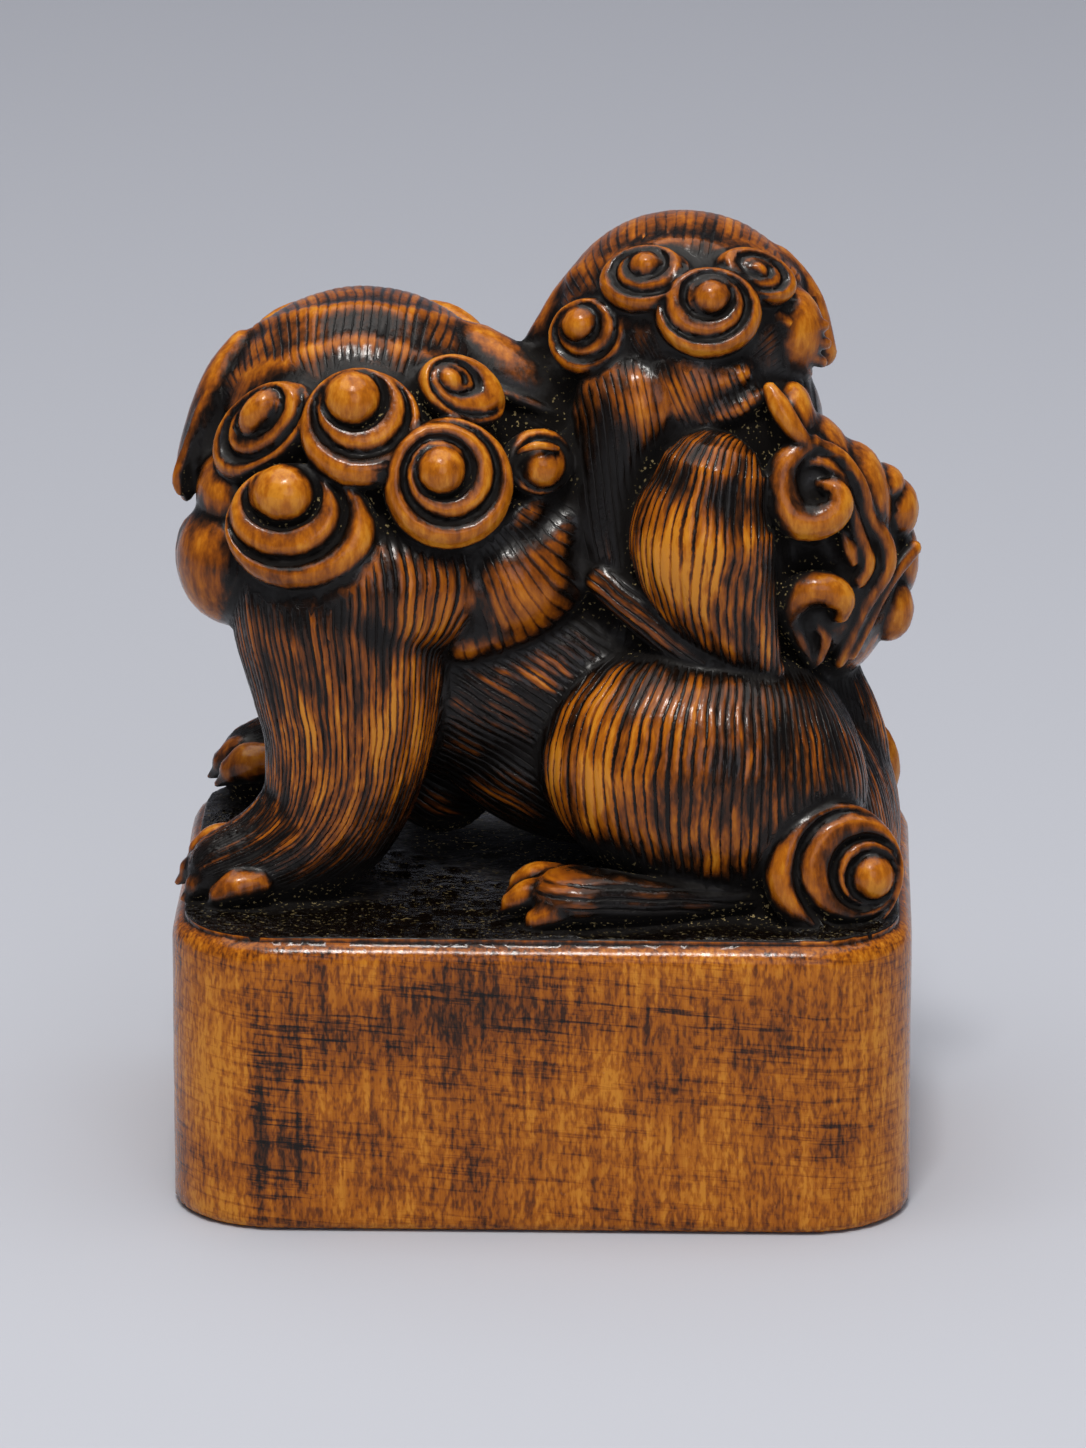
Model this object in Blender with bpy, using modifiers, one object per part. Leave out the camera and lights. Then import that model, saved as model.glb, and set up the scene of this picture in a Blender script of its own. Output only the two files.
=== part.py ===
"""A carved boxwood netsuke in the form of a seal: a shishi with her cub on her back, on a rounded block.

Run with: blender --background --python part.py

The whole carving is one piece of wood, so it is one solid. Lengths below are in millimetres, +Z is up,
and the origin is the middle of the block's underside. The shishi's body points along -X, and both
heads are turned towards +Y, so a look along +Y shows their napes.
"""

import math

import bmesh
import bpy
from mathutils import Euler, Matrix, Vector

MM = 0.001

# The block
BLOCK_WIDTH = 30.1
BLOCK_DEPTH = 23.0
BLOCK_HEIGHT = 12.3
BLOCK_CORNER = 4.3
TOP_EDGE_ROUND = 0.9
FOOT_EDGE_ROUND = 0.3
CORNER_STEPS = 10

# The shishi
SHISHI_HEAD = Vector((-7.45, 0.6, 30.8))
SHISHI_HEAD_RADII = (6.1, 6.2, 5.5)

# The cub
CUB_HEAD = Vector((5.55, 1.2, 34.6))
CUB_HEAD_RADII = (5.3, 5.0, 4.9)
CUB_SCALE = 0.8

# How finely the figures are carved
CARVING_GRAIN = 0.2
CARVING_TRIANGLES = 9200
SOFTENING_PASSES = 2

WOOD = (0.42, 0.19, 0.05, 1.0)
WOOD_ROUGHNESS = 0.38

BALL_SEGMENTS = 24
BALL_RINGS = 14
TUBE_RESOLUTION = 3
SMOOTH_SPAN = 4
CURL_STEPS = 12
MOUND_HEIGHT = 0.36
RIM_WIDTH = 0.14
RIM_REACH = 0.87
RIM_LIFT = 0.28
RIM_STAND = 1.7


def clear_scene():
    for old in list(bpy.data.objects):
        bpy.data.objects.remove(old)


def collection(name):
    made = bpy.data.collections.new(name)
    bpy.context.scene.collection.children.link(made)
    return made


def flattener(direction, factor):
    """A matrix that scales by factor along direction and leaves the rest as it is."""
    return Matrix.Scale(factor, 4, Vector(direction).normalized())


class Carving:
    """Gathers the rounded forms of the figures in one mesh, in millimetres."""

    def __init__(self):
        self.whole = bmesh.new()

    def add(self, form):
        """Takes over a small mesh of one form."""
        mesh = bpy.data.meshes.new("form")
        form.to_mesh(mesh)
        form.free()
        self.whole.from_mesh(mesh)
        bpy.data.meshes.remove(mesh)

    def ball(self, centre, radii, turn=(0, 0, 0)):
        """An egg of these half sizes, turned by Euler angles in degrees."""
        rotation = Euler([math.radians(a) for a in turn]).to_matrix().to_4x4()
        matrix = Matrix.Translation(centre) @ rotation @ Matrix.Diagonal((*radii, 1))
        form = bmesh.new()
        bmesh.ops.create_uvsphere(
            form, u_segments=BALL_SEGMENTS, v_segments=BALL_RINGS, radius=1, matrix=matrix
        )
        self.add(form)

    def limb(self, stations, flat=None):
        """A rounded limb through (x, y, z, radius) stations.

        flat is a direction and a factor: the limb's thickness that way is cut to that share.
        """
        squeeze = flattener(*flat) if flat else Matrix.Identity(4)
        stretched = [(squeeze.inverted() @ Vector(s[:3]), s[3]) for s in stations]
        curve = bpy.data.curves.new("limb", "CURVE")
        curve.dimensions = "3D"
        curve.bevel_depth = 1.0
        curve.bevel_resolution = TUBE_RESOLUTION
        curve.use_fill_caps = True
        curve.resolution_u = SMOOTH_SPAN
        spline = curve.splines.new("NURBS")
        spline.points.add(len(stretched) - 1)
        for point, (place, radius) in zip(spline.points, stretched):
            point.co = (*place, 1)
            point.radius = radius
        spline.use_endpoint_u = True
        spline.order_u = min(3, len(stretched))
        holder = bpy.data.objects.new("limb", curve)
        mesh = bpy.data.meshes.new_from_object(holder)
        bpy.data.objects.remove(holder)
        bpy.data.curves.remove(curve)
        form = bmesh.new()
        form.from_mesh(mesh)
        bpy.data.meshes.remove(mesh)
        bmesh.ops.remove_doubles(form, verts=form.verts, dist=0.001)
        for place, radius in (stretched[0], stretched[-1]):
            bmesh.ops.create_uvsphere(
                form,
                u_segments=BALL_SEGMENTS // 2,
                v_segments=BALL_RINGS // 2,
                radius=radius * 0.99,
                matrix=Matrix.Translation(place),
            )
        bmesh.ops.transform(form, matrix=squeeze, verts=form.verts)
        self.add(form)

    def curl(self, centre, facing, radius, start, sweep, knob=0.36, heart=(0, 0), squash=1.0, lean=0):
        """A snail-like lock of the mane: a low mound, a rim winding in, and a knob at its heart.

        Seen from outside, the rim begins at the angle start and turns by sweep, both in degrees
        anticlockwise from the right, and winds in from the mound's edge to the knob, which lies at heart,
        in shares of the radius. squash makes the lock an oval, whose long side leans by lean degrees.
        """
        out = Vector(facing).normalized()
        right = Vector((0, 0, 1)).cross(out).normalized()
        frame = Matrix((right, out.cross(right), out)).transposed().to_4x4()
        frame.translation = centre
        tilt = Matrix.Rotation(math.radians(lean), 4, "Z")
        frame = frame @ tilt @ Matrix.Diagonal((1, squash, 1, 1)) @ tilt.inverted()
        form = bmesh.new()
        mound = Matrix.Diagonal((radius, radius, radius * MOUND_HEIGHT, 1))
        ball = Matrix.Translation((radius * heart[0], radius * heart[1], radius * MOUND_HEIGHT))
        for shape in (mound, ball @ Matrix.Scale(radius * knob, 4)):
            bmesh.ops.create_uvsphere(
                form, u_segments=BALL_SEGMENTS, v_segments=BALL_RINGS, radius=1, matrix=frame @ shape
            )
        self.add(form)
        ridge = []
        for step in range(CURL_STEPS + 1):
            along = step / CURL_STEPS
            inward = along**2 * min(1, abs(sweep) / 360)
            angle = math.radians(start + sweep * along)
            reach = RIM_REACH + (knob + RIM_WIDTH / 2 - RIM_REACH) * inward
            swell = math.sin(math.pi * min(0.5, 0.12 + along))
            spot = frame @ Vector(
                (
                    radius * (reach * math.cos(angle) + heart[0] * inward),
                    radius * (reach * math.sin(angle) + heart[1] * inward),
                    radius * RIM_LIFT,
                )
            )
            ridge.append((*spot, radius * RIM_WIDTH * swell))
        self.limb(ridge, (out, RIM_STAND))

    def to_object(self, name, home):
        mesh = bpy.data.meshes.new(name)
        self.whole.transform(Matrix.Scale(MM, 4))
        self.whole.to_mesh(mesh)
        self.whole.free()
        made = bpy.data.objects.new(name, mesh)
        home.objects.link(made)
        return made


def face(carving, head, scale):
    """Muzzle, nose, jaw, eyes, brows, beard and cheek locks of a head turned to +Y."""

    def at(x, y, z):
        return head + Vector((x, y, z)) * scale

    def trail(side, stations):
        return [(*at(side * x, y, z), r * scale) for x, y, z, r in stations]

    def sized(*radii):
        return tuple(r * scale for r in radii)

    carving.ball(at(0, 4.6, -1.2), sized(3.9, 3.4, 3.0))
    carving.ball(at(0, 5.2, -4.4), sized(2.8, 2.9, 1.2), (-8, 0, 0))
    carving.ball(at(0, 8.0, 0.1), sized(1.5, 1.1, 1.0))
    carving.limb(trail(1, [(0, 5.6, 2.4, 0.9), (0, 7.2, 1.2, 0.9), (0, 8.0, 0.4, 0.8)]))
    brow = [(0.8, 6.8, 1.9, 0.55), (2.2, 6.5, 2.9, 0.75), (4.0, 5.2, 2.6, 0.75), (5.0, 4.0, 1.3, 0.5)]
    lip = [(2.6, 6.4, -3.0, 0.5), (3.8, 5.0, -2.6, 0.55), (4.4, 4.0, -1.2, 0.45)]
    for side in (-1, 1):
        carving.ball(at(side * 1.35, 7.8, -0.3), sized(0.85, 0.8, 0.7))
        carving.ball(at(side * 1.7, 6.9, -1.6), sized(1.9, 1.5, 1.1), (0, side * 14, side * -18))
        carving.ball(at(side * 2.45, 5.6, 1.2), sized(1.2, 1.1, 1.05))
        carving.limb(trail(side, brow))
        carving.limb(trail(side, lip))
        carving.ball(at(side * 1.9, 7.3, -2.9), sized(0.4, 0.4, 0.8))
        carving.curl(at(side * 4.9, 2.8, -1.9), (side * 0.8, 0.6, 0), 1.9 * scale, 90, -side * 300)
        carving.curl(at(side * 3.3, 3.8, -5.0), (side * 0.6, 0.8, -0.2), 1.7 * scale, 90, -side * 300)
        carving.curl(at(side * 1.2, 5.2, -6.2), (side * 0.3, 0.9, -0.4), 1.3 * scale, 90, -side * 300)
        carving.curl(at(side * 1.9, 4.9, 3.1), (side * 0.3, 0.8, 0.5), 1.2 * scale, 90, side * 300)


def toes(carving, roots, tips, radius):
    """A row of toes, each from its root to its tip, with a claw at the end."""
    for root, tip in zip(roots, tips):
        root, tip = Vector(root), Vector(tip)
        along = (tip - root).normalized()
        knuckle = (root + tip) / 2 + Vector((0, 0, radius * 0.3))
        carving.limb([(*root, radius * 0.85), (*knuckle, radius), (*tip, radius * 0.85)])
        claw = tip + along * radius * 0.8 + Vector((0, 0, -radius * 0.25))
        carving.ball(claw, (radius * 0.45,) * 3)


def foreleg(carving, stations, tips):
    """A mane-covered foreleg, flattened a little across the body, and the tips of its three toes."""
    carving.limb(stations, ((0, 1, 0), 0.82))
    toes(carving, [(x + 1.5, y, z + 0.3) for x, y, z in tips], tips, 0.92)


def hind_leg(carving, side):
    """A haunch like a great drop, and the foot laid forward along the block's edge."""
    carving.ball((5.8, side * 5.1, 17.9), (6.0, 4.6, 5.2), (0, 20, 0))
    foot = [(9.0, 7.2, 14.2, 1.8), (5.0, 8.9, 13.6, 1.35), (2.2, 9.1, 13.6, 1.4)]
    carving.limb([(x, side * y, z, r) for x, y, z, r in foot])
    toes(
        carving,
        [(1.9, side * 9.7, 13.4), (1.3, side * 9.2, 13.8), (1.2, side * 8.3, 14.2)],
        [(0.4, side * 9.8, 12.9), (-0.4, side * 9.1, 13.4), (-0.7, side * 8.1, 13.9)],
        0.75,
    )


def shishi_body(carving):
    """Trunk, legs, the rolls of the mane at the shoulder, and the tail's two curls."""
    carving.ball((-0.4, 0.3, 20.8), (9.6, 6.1, 5.5), (0, 6, 0))
    carving.ball((0.3, 0.3, 17.9), (6.2, 5.6, 4.3), (0, 27, 0))
    carving.ball((-7.4, 0.6, 24.6), (4.8, 5.8, 5.4))
    carving.ball((-6.9, -3.4, 25.4), (5.5, 4.6, 3.8))
    carving.ball((9.3, 0.3, 13.8), (5.55, 8.3, 7.3))
    carving.ball((4.5, 0.3, 22.6), (6.6, 5.2, 4.0))
    carving.ball((-1.2, 0.3, 27.2), (4.0, 4.8, 3.8))
    carving.ball((0.0, 1.0, 30.4), (3.0, 3.2, 3.4))
    near_leg = [
        (-8.5, -3.2, 26.8, 4.2),
        (-8.3, -4.3, 24.2, 4.75),
        (-8.05, -4.8, 21.2, 4.1),
        (-8.1, -5.0, 18.4, 3.5),
        (-9.0, -5.0, 15.6, 3.1),
        (-10.8, -5.4, 13.9, 2.3),
        (-12.6, -5.7, 13.2, 1.7),
    ]
    far_leg = [(x + 0.5, -y + 2.5 * min(1, (26.8 - z) / 10), z + 0.3, r) for x, y, z, r in near_leg]
    foreleg(carving, near_leg, [(-13.9, -4.2, 13.6), (-14.1, -5.6, 13.3), (-13.4, -7.0, 13.2)])
    foreleg(carving, far_leg, [(-13.0, 6.6, 13.2), (-13.4, 8.4, 13.6), (-13.3, 10.1, 14.2)])
    hind_leg(carving, -1)
    hind_leg(carving, 1)
    carving.ball((-1.6, -3.2, 25.4), (3.4, 3.4, 3.0), (0, -25, 0))
    for roll in (
        [(-4.3, -5.9, 27.2, 1.2), (-1.8, -5.5, 27.1, 1.1), (-0.4, -4.4, 28.2, 0.9)],
        [(-4.2, -6.0, 25.2, 1.6), (-1.4, -5.6, 25.1, 1.5), (0.5, -4.8, 26.4, 1.3), (1.0, -3.8, 28.5, 1.0)],
        [(-3.6, -5.2, 23.2, 1.5), (-0.8, -5.1, 23.8, 1.4), (1.7, -4.3, 26.0, 1.1)],
    ):
        carving.limb(roll)
    carving.curl((11.8, -8.2, 14.5), (0.4, -0.9, 0.05), 2.8, -70, -320, knob=0.4, heart=(0.46, -0.08))
    carving.curl((11.6, 5.4, 15.6), (0.75, 0.66, 0.1), 2.8, 90, 300, knob=0.4)
    carving.limb([(11.0, 0, 20.5, 1.8), (12.6, 0, 18.0, 1.5), (13.0, 0.5, 15.0, 1.3)])


def shishi_head(carving):
    """The mother's head: parted crown bands, ears, and seven curls down the nape."""
    carving.ball(SHISHI_HEAD, SHISHI_HEAD_RADII)
    lower_band = [(4.4, -1.8, 2.0, 0.8), (3.0, -3.3, 3.5, 1.1), (1.5, -3.7, 4.1, 1.1), (0.4, -3.8, 4.2, 1)]
    upper_band = [(3.7, -0.2, 3.2, 0.8), (2.3, -1.2, 4.3, 1.0), (0.4, -1.4, 4.8, 0.9)]
    for side in (-1, 1):
        for band in (lower_band, upper_band):
            carving.limb([(*(SHISHI_HEAD + Vector((side * x, y, z))), r) for x, y, z, r in band])
    left_ear = [
        (-12.5, 0.9, 33.4, 1.2),
        (-13.4, 0.4, 32.0, 1.6),
        (-14.0, 0.0, 30.2, 1.7),
        (-14.65, -0.6, 28.9, 1.2),
        (-14.65, -1.0, 28.4, 0.7),
    ]
    carving.limb(left_ear, ((1, 0, 0), 0.5))
    carving.limb([(x - 0.3 * r, y - 0.75 * r, z, 0.4) for x, y, z, r in left_ear])
    right_ear = [
        (-3.2, 0.4, 33.3, 1.8),
        (-1.6, -0.1, 32.7, 1.7),
        (-0.1, -0.7, 32.1, 1.1),
        (0.7, -1.2, 31.7, 0.5),
    ]
    carving.limb(right_ear)
    for curl in (
        ((-11.2, -4.0, 31.6), (-0.6, -0.8, 0.0), 2.3, 205, 250, 0.36, (0.0, 0.15), 0.85, 40),
        ((-7.3, -5.6, 32.5), (0.0, -0.97, 0.25), 2.45, 205, 320, 0.44, (-0.15, 0.25), 0.87),
        ((-3.4, -3.9, 33.6), (0.4, -0.85, 0.35), 1.8, -20, -320, 0.36, (0, 0.1), 0.8),
        ((-9.8, -6.6, 28.6), (-0.15, -0.98, 0.1), 2.9, 150, 245, 0.4, (-0.2, 0.25), 0.85, 10),
        ((-3.9, -6.4, 30.1), (0.15, -0.98, 0.1), 2.45, 70, -310, 0.4, (-0.05, 0.25)),
        ((-0.4, -4.1, 30.5), (0.5, -0.86, 0.0), 1.4, 180, 180, 0.5),
        ((-13.75, -3.4, 26.1), (-0.85, -0.5, -0.1), 2.1, 200, 260),
    ):
        carving.curl(*curl)
    carving.ball((-12.5, -2.6, 25.9), (2.5, 2.8, 2.8))
    carving.ball((-12.7, -2.2, 28.6), (1.8, 2.4, 2.0))
    face(carving, SHISHI_HEAD, 1.0)


def flame_tail(carving):
    """The cub's tail: a mound up its back with two hooked locks, wavy strands and side lobes."""
    carving.ball((11.6, -0.4, 25.4), (2.9, 3.7, 4.9))
    upper_hook = [
        (9.2, -3.2, 32.8, 0.6),
        (10.0, -3.7, 31.5, 0.85),
        (11.0, -4.0, 30.4, 0.6),
        (9.9, -4.5, 29.7, 0.7),
        (9.7, -4.9, 28.3, 0.85),
        (10.8, -5.0, 27.7, 0.9),
        (11.5, -4.7, 28.6, 0.75),
    ]
    lower_hook = [
        (11.6, -3.2, 20.9, 0.5),
        (10.3, -4.3, 22.4, 0.7),
        (9.9, -4.6, 23.8, 0.75),
        (11.0, -4.6, 24.9, 0.85),
        (11.9, -4.5, 24.0, 0.7),
    ]
    carving.limb(upper_hook)
    carving.limb(lower_hook)
    strand = [
        (11.5, -3.3, 29.8, 0.4),
        (12.6, -3.5, 28.0, 0.5),
        (12.9, -3.4, 25.6, 0.55),
        (12.2, -3.3, 23.4, 0.5),
        (11.5, -2.7, 21.2, 0.4),
    ]
    for shift in (0, 0.9):
        carving.limb([(x + shift, y + shift, z, r) for x, y, z, r in strand])
    carving.ball((13.6, -1.0, 28.8), (1.0, 1.1, 0.8))
    carving.ball((14.25, -0.6, 27.6), (0.95, 1.2, 1.3))
    carving.ball((14.3, 0.2, 25.3), (0.95, 1.5, 1.8))
    carving.ball((14.15, -1.0, 23.4), (1.1, 1.2, 1.5))
    carving.limb([(13.6, -2.0, 24.6, 0.5), (14.5, -1.2, 25.4, 0.55), (14.7, -0.2, 26.0, 0.45)])
    carving.curl((12.2, 3.0, 26.6), (0.75, 0.65, 0), 1.8, 90, 300)
    carving.curl((12.2, 3.0, 22.8), (0.75, 0.65, 0), 1.8, 90, -300)


def cub_body(carving):
    """Trunk, legs and ribs."""
    carving.ball((6.3, 0.5, 30.8), (5.0, 4.8, 4.6))
    carving.ball((7.6, 0.2, 26.6), (4.6, 5.2, 5.4), (0, -12, 0))
    haunch = [(5.5, 5.0, 29.6, 2.5), (6.1, 5.3, 27.2, 2.9), (7.4, 5.4, 24.5, 2.0), (8.6, 5.6, 22.3, 0.8)]
    foot = [(8.0, 5.9, 21.9, 0.9), (6.3, 5.8, 22.9, 1.1), (3.9, 5.2, 24.6, 1.0), (2.6, 4.7, 25.6, 0.8)]
    arm = [(3.7, 2.2, 32.4, 2.6), (2.8, 2.7, 30.2, 2.1), (2.6, 3.4, 27.6, 1.6), (2.9, 4.0, 25.9, 1.2)]
    for side in (-1, 1):
        for stations in (haunch, foot, arm):
            carving.limb([(x, side * y, z, r) for x, y, z, r in stations])
        for rib in range(3):
            x, z = 3.7 + 1.35 * rib, 33.4 - 1.1 * rib
            ridge = [(x, 3.4, z, 0.45), (x + 1.4, 3.9, z + 0.7, 0.6), (x + 2.8, 3.6, z + 1.1, 0.4)]
            carving.limb([(x, side * y, z, r) for x, y, z, r in ridge])


def cub_head(carving):
    """The cub's head: parted crown, ears and five nape curls."""
    carving.ball(CUB_HEAD, CUB_HEAD_RADII)
    for side in (-1, 1):
        band = [(3.7, -0.8, 2.4, 0.6), (2.3, -2.1, 3.5, 0.8), (0.4, -2.4, 4.0, 0.8)]
        carving.limb([(*(CUB_HEAD + Vector((side * x, y, z))), r) for x, y, z, r in band])
    carving.limb([(2.4, 1.6, 37.0, 1.2), (1.1, 1.2, 35.4, 1.25), (-0.3, 0.8, 34.1, 0.7)])
    carving.limb([(9.1, 1.8, 37.0, 1.1), (10.2, 2.0, 35.6, 1.2), (11.2, 2.0, 33.5, 0.7)])
    for curl in (
        ((4.5, -2.1, 37.4), (-0.25, -0.75, 0.6), 1.75, 200, 310, 0.4, (0, 0), 0.8),
        ((2.0, -1.8, 35.1), (-0.55, -0.83, 0.1), 1.6, 200, 240, 0.44, (-0.1, 0.1)),
        ((6.7, -3.0, 36.4), (0.1, -0.97, 0.25), 2.0, 165, 230, 0.42, (0.05, 0.2), 0.85),
        ((8.8, -1.4, 37.4), (0.45, -0.7, 0.55), 1.55, 180, 240, 0.36, (0, 0), 0.75, -25),
        ((10.1, 0.2, 34.4), (0.9, -0.4, 0.0), 1.6, 90, 270),
    ):
        carving.curl(*curl)
    face(carving, CUB_HEAD, CUB_SCALE)


def rounded_rectangle():
    """The block's outline, anticlockwise."""
    outline = []
    for quarter, (sx, sy) in enumerate(((1, -1), (1, 1), (-1, 1), (-1, -1))):
        cx = sx * (BLOCK_WIDTH / 2 - BLOCK_CORNER)
        cy = sy * (BLOCK_DEPTH / 2 - BLOCK_CORNER)
        for step in range(CORNER_STEPS + 1):
            angle = (quarter - 1 + step / CORNER_STEPS) * math.pi / 2
            outline.append((cx + BLOCK_CORNER * math.cos(angle), cy + BLOCK_CORNER * math.sin(angle)))
    return outline


def block(name, home):
    """The seal block: a rounded rectangle, softened along its top and foot edges."""
    curve = bpy.data.curves.new(name, "CURVE")
    curve.dimensions = "2D"
    curve.fill_mode = "BOTH"
    curve.extrude = BLOCK_HEIGHT / 2
    spline = curve.splines.new("POLY")
    outline = rounded_rectangle()
    spline.points.add(len(outline) - 1)
    for point, (x, y) in zip(spline.points, outline):
        point.co = (x, y, 0, 1)
    spline.use_cyclic_u = True
    holder = bpy.data.objects.new(name, curve)
    mesh = bpy.data.meshes.new_from_object(holder)
    bpy.data.objects.remove(holder)
    bpy.data.curves.remove(curve)
    shape = bmesh.new()
    shape.from_mesh(mesh)
    bmesh.ops.remove_doubles(shape, verts=shape.verts, dist=0.001)
    bmesh.ops.dissolve_limit(shape, angle_limit=0.02, verts=shape.verts, edges=shape.edges)
    bmesh.ops.translate(shape, verts=shape.verts, vec=(0, 0, BLOCK_HEIGHT / 2))
    for level, width, segments in ((BLOCK_HEIGHT, TOP_EDGE_ROUND, 3), (0, FOOT_EDGE_ROUND, 2)):
        rim = [e for e in shape.edges if all(abs(v.co.z - level) < 0.001 for v in e.verts)]
        bmesh.ops.bevel(shape, geom=rim, offset=width, segments=segments, profile=0.5, affect="EDGES")
    bmesh.ops.scale(shape, vec=(MM,) * 3, verts=shape.verts)
    shape.to_mesh(mesh)
    shape.free()
    made = bpy.data.objects.new(name, mesh)
    home.objects.link(made)
    return made


def wood():
    material = bpy.data.materials.new("stained_boxwood")
    material.use_nodes = True
    shader = material.node_tree.nodes["Principled BSDF"]
    shader.inputs["Base Color"].default_value = WOOD
    shader.inputs["Roughness"].default_value = WOOD_ROUGHNESS
    shader.inputs["Metallic"].default_value = 0.0
    return material


def main():
    clear_scene()
    carving_home = collection("shishi_netsuke")
    helpers = collection("helpers")

    carving = Carving()
    shishi_body(carving)
    shishi_head(carving)
    cub_body(carving)
    cub_head(carving)
    flame_tail(carving)
    figures = carving.to_object("figures", helpers)
    figures.hide_render = True
    figures.display_type = "WIRE"
    grain = figures.modifiers.new("grain", "REMESH")
    grain.mode = "VOXEL"
    grain.voxel_size = CARVING_GRAIN * MM
    soften = figures.modifiers.new("soften", "SMOOTH")
    soften.factor = 0.5
    soften.iterations = SOFTENING_PASSES

    graph = bpy.context.evaluated_depsgraph_get()
    carved = figures.evaluated_get(graph)
    triangles = sum(len(p.vertices) - 2 for p in carved.data.polygons)
    facets = figures.modifiers.new("facets", "DECIMATE")
    facets.ratio = CARVING_TRIANGLES / triangles

    whole = block("shishi_netsuke", carving_home)
    whole.data.materials.append(wood())
    union = whole.modifiers.new("carved_in_one", "BOOLEAN")
    union.operation = "UNION"
    union.object = figures


main()
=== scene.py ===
"""A boxwood netsuke: a shishi with her cub on her back, on a seal block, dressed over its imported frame.

The whole netsuke is one piece of wood. Its forms are given in millimetres in the frame's own axes:
+Z up, the shishi's body along -X, both faces towards +Y. It is carved at that size, with one unit to
the millimetre, and brought to metres at the end.
"""

import itertools
import math
from functools import partial

import bmesh
import bpy
import numpy as np
from bpy.props import FloatProperty, FloatVectorProperty, IntProperty, PointerProperty
from bpy.types import Operator, Panel, PropertyGroup
from mathutils import Euler, Matrix, Vector
from mathutils.bvhtree import BVHTree


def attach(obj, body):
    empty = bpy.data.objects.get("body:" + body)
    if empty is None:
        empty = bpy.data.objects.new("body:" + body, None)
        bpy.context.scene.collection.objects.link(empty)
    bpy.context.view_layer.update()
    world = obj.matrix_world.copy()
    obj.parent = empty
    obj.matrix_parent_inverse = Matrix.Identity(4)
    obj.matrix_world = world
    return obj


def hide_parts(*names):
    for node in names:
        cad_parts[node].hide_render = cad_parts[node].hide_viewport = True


bl_info = {
    "name": "Carved boxwood netsuke",
    "version": (1, 0, 0),
    "blender": (4, 5, 0),
    "location": "3D View > Sidebar > Netsuke",
    "description": "A shishi with her cub on a seal block, in stained and rubbed boxwood",
    "category": "Object",
}

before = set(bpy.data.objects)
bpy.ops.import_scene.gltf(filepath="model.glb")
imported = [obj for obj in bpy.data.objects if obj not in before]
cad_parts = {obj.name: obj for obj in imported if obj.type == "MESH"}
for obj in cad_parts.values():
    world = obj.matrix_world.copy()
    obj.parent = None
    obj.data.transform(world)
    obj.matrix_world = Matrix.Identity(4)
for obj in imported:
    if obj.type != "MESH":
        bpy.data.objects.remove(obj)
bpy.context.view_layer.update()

MM = 0.001
PIECE = "carved_netsuke"
NODE = "shishi_netsuke"
SMOOTH_ANGLE = math.radians(60)

# Heads, in millimetres
SHISHI_HEAD = Vector((-7.45, 0.6, 30.8))
SHISHI_HEAD_RADII = (6.1, 6.2, 5.5)
CUB_HEAD = Vector((5.55, 1.2, 34.6))
CUB_HEAD_RADII = (5.3, 5.0, 4.9)
CUB_SCALE = 0.8

# How finely the forms are drawn
BALL_SEGMENTS = 48
BALL_RINGS = 28
PATH_PASSES = 3
COARSE_PATH_PASSES = 2
TUBE_RESOLUTION = 6
END_ANGLES = (25, 50, 70, 84)
LOCK_SEGMENTS = 128
LOCK_RINGS = 96


def only(*chosen):
    """Selects these objects and nothing else."""
    bpy.ops.object.select_all(action="DESELECT")
    for obj in chosen:
        obj.select_set(True)
    bpy.context.view_layer.objects.active = chosen[0]


def finish_modifier(obj, name, kind, **settings):
    """Adds a modifier and applies it. It stays off until then, so that it is worked out only once."""
    only(obj)
    modifier = obj.modifiers.new(name, kind)
    modifier.show_viewport = False
    for setting, value in settings.items():
        setattr(modifier, setting, value)
    bpy.ops.object.modifier_apply(modifier=name)


def rows_of(layer, name, width, kind=np.float32):
    """The values that a mesh keeps under this name, in rows of this width."""
    values = np.empty(len(layer) * width, kind)
    layer.foreach_get(name, values)
    return values.reshape(-1, width)


def vertices_of(mesh):
    return rows_of(mesh.vertices, "co", 3).astype(float)


def normals_of(mesh):
    return rows_of(mesh.vertex_normals, "vector", 3).astype(float)


def edges_of(mesh):
    return rows_of(mesh.edges, "vertices", 2, np.int32)


def move_vertices(mesh, points):
    mesh.vertices.foreach_set("co", points.astype(np.float32).ravel())
    mesh.update()


def round_edges(obj, chosen, offset, segments):
    """Rounds the edges whose two ends pass the test chosen."""
    bpy.ops.object.mode_set(mode="EDIT")
    bpy.ops.mesh.select_mode(type="EDGE")
    bpy.ops.mesh.select_all(action="DESELECT")
    form = bmesh.from_edit_mesh(obj.data)
    for edge in form.edges:
        edge.select = chosen(*(v.co for v in edge.verts))
    bmesh.update_edit_mesh(obj.data)
    bpy.ops.mesh.bevel(offset=offset, segments=segments, affect="EDGES")
    bpy.ops.object.mode_set(mode="OBJECT")


def slab(width, depth, thick, middle, corner, segments):
    """A level slab with rounded upright corners, whose middle is at this height."""
    bpy.ops.object.select_all(action="DESELECT")
    bpy.ops.mesh.primitive_cube_add(size=1, location=(0, 0, middle), scale=(width, depth, thick))
    made = bpy.context.object
    bpy.ops.object.transform_apply(location=True, rotation=True, scale=True)
    round_edges(made, lambda a, b: abs(a.z - b.z) > thick / 2, corner, segments)
    return made


def dots(rows, others):
    """The dot product of each row with its fellow."""
    return np.einsum("ij,ij->i", rows, others)


def unit(rows):
    """Each row at a length of one."""
    return rows / np.linalg.norm(rows, axis=1)[:, None]


def smoothstep(low, high, value):
    share = np.clip((value - low) / (high - low), 0, 1)
    return share * share * (3 - 2 * share)


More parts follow.
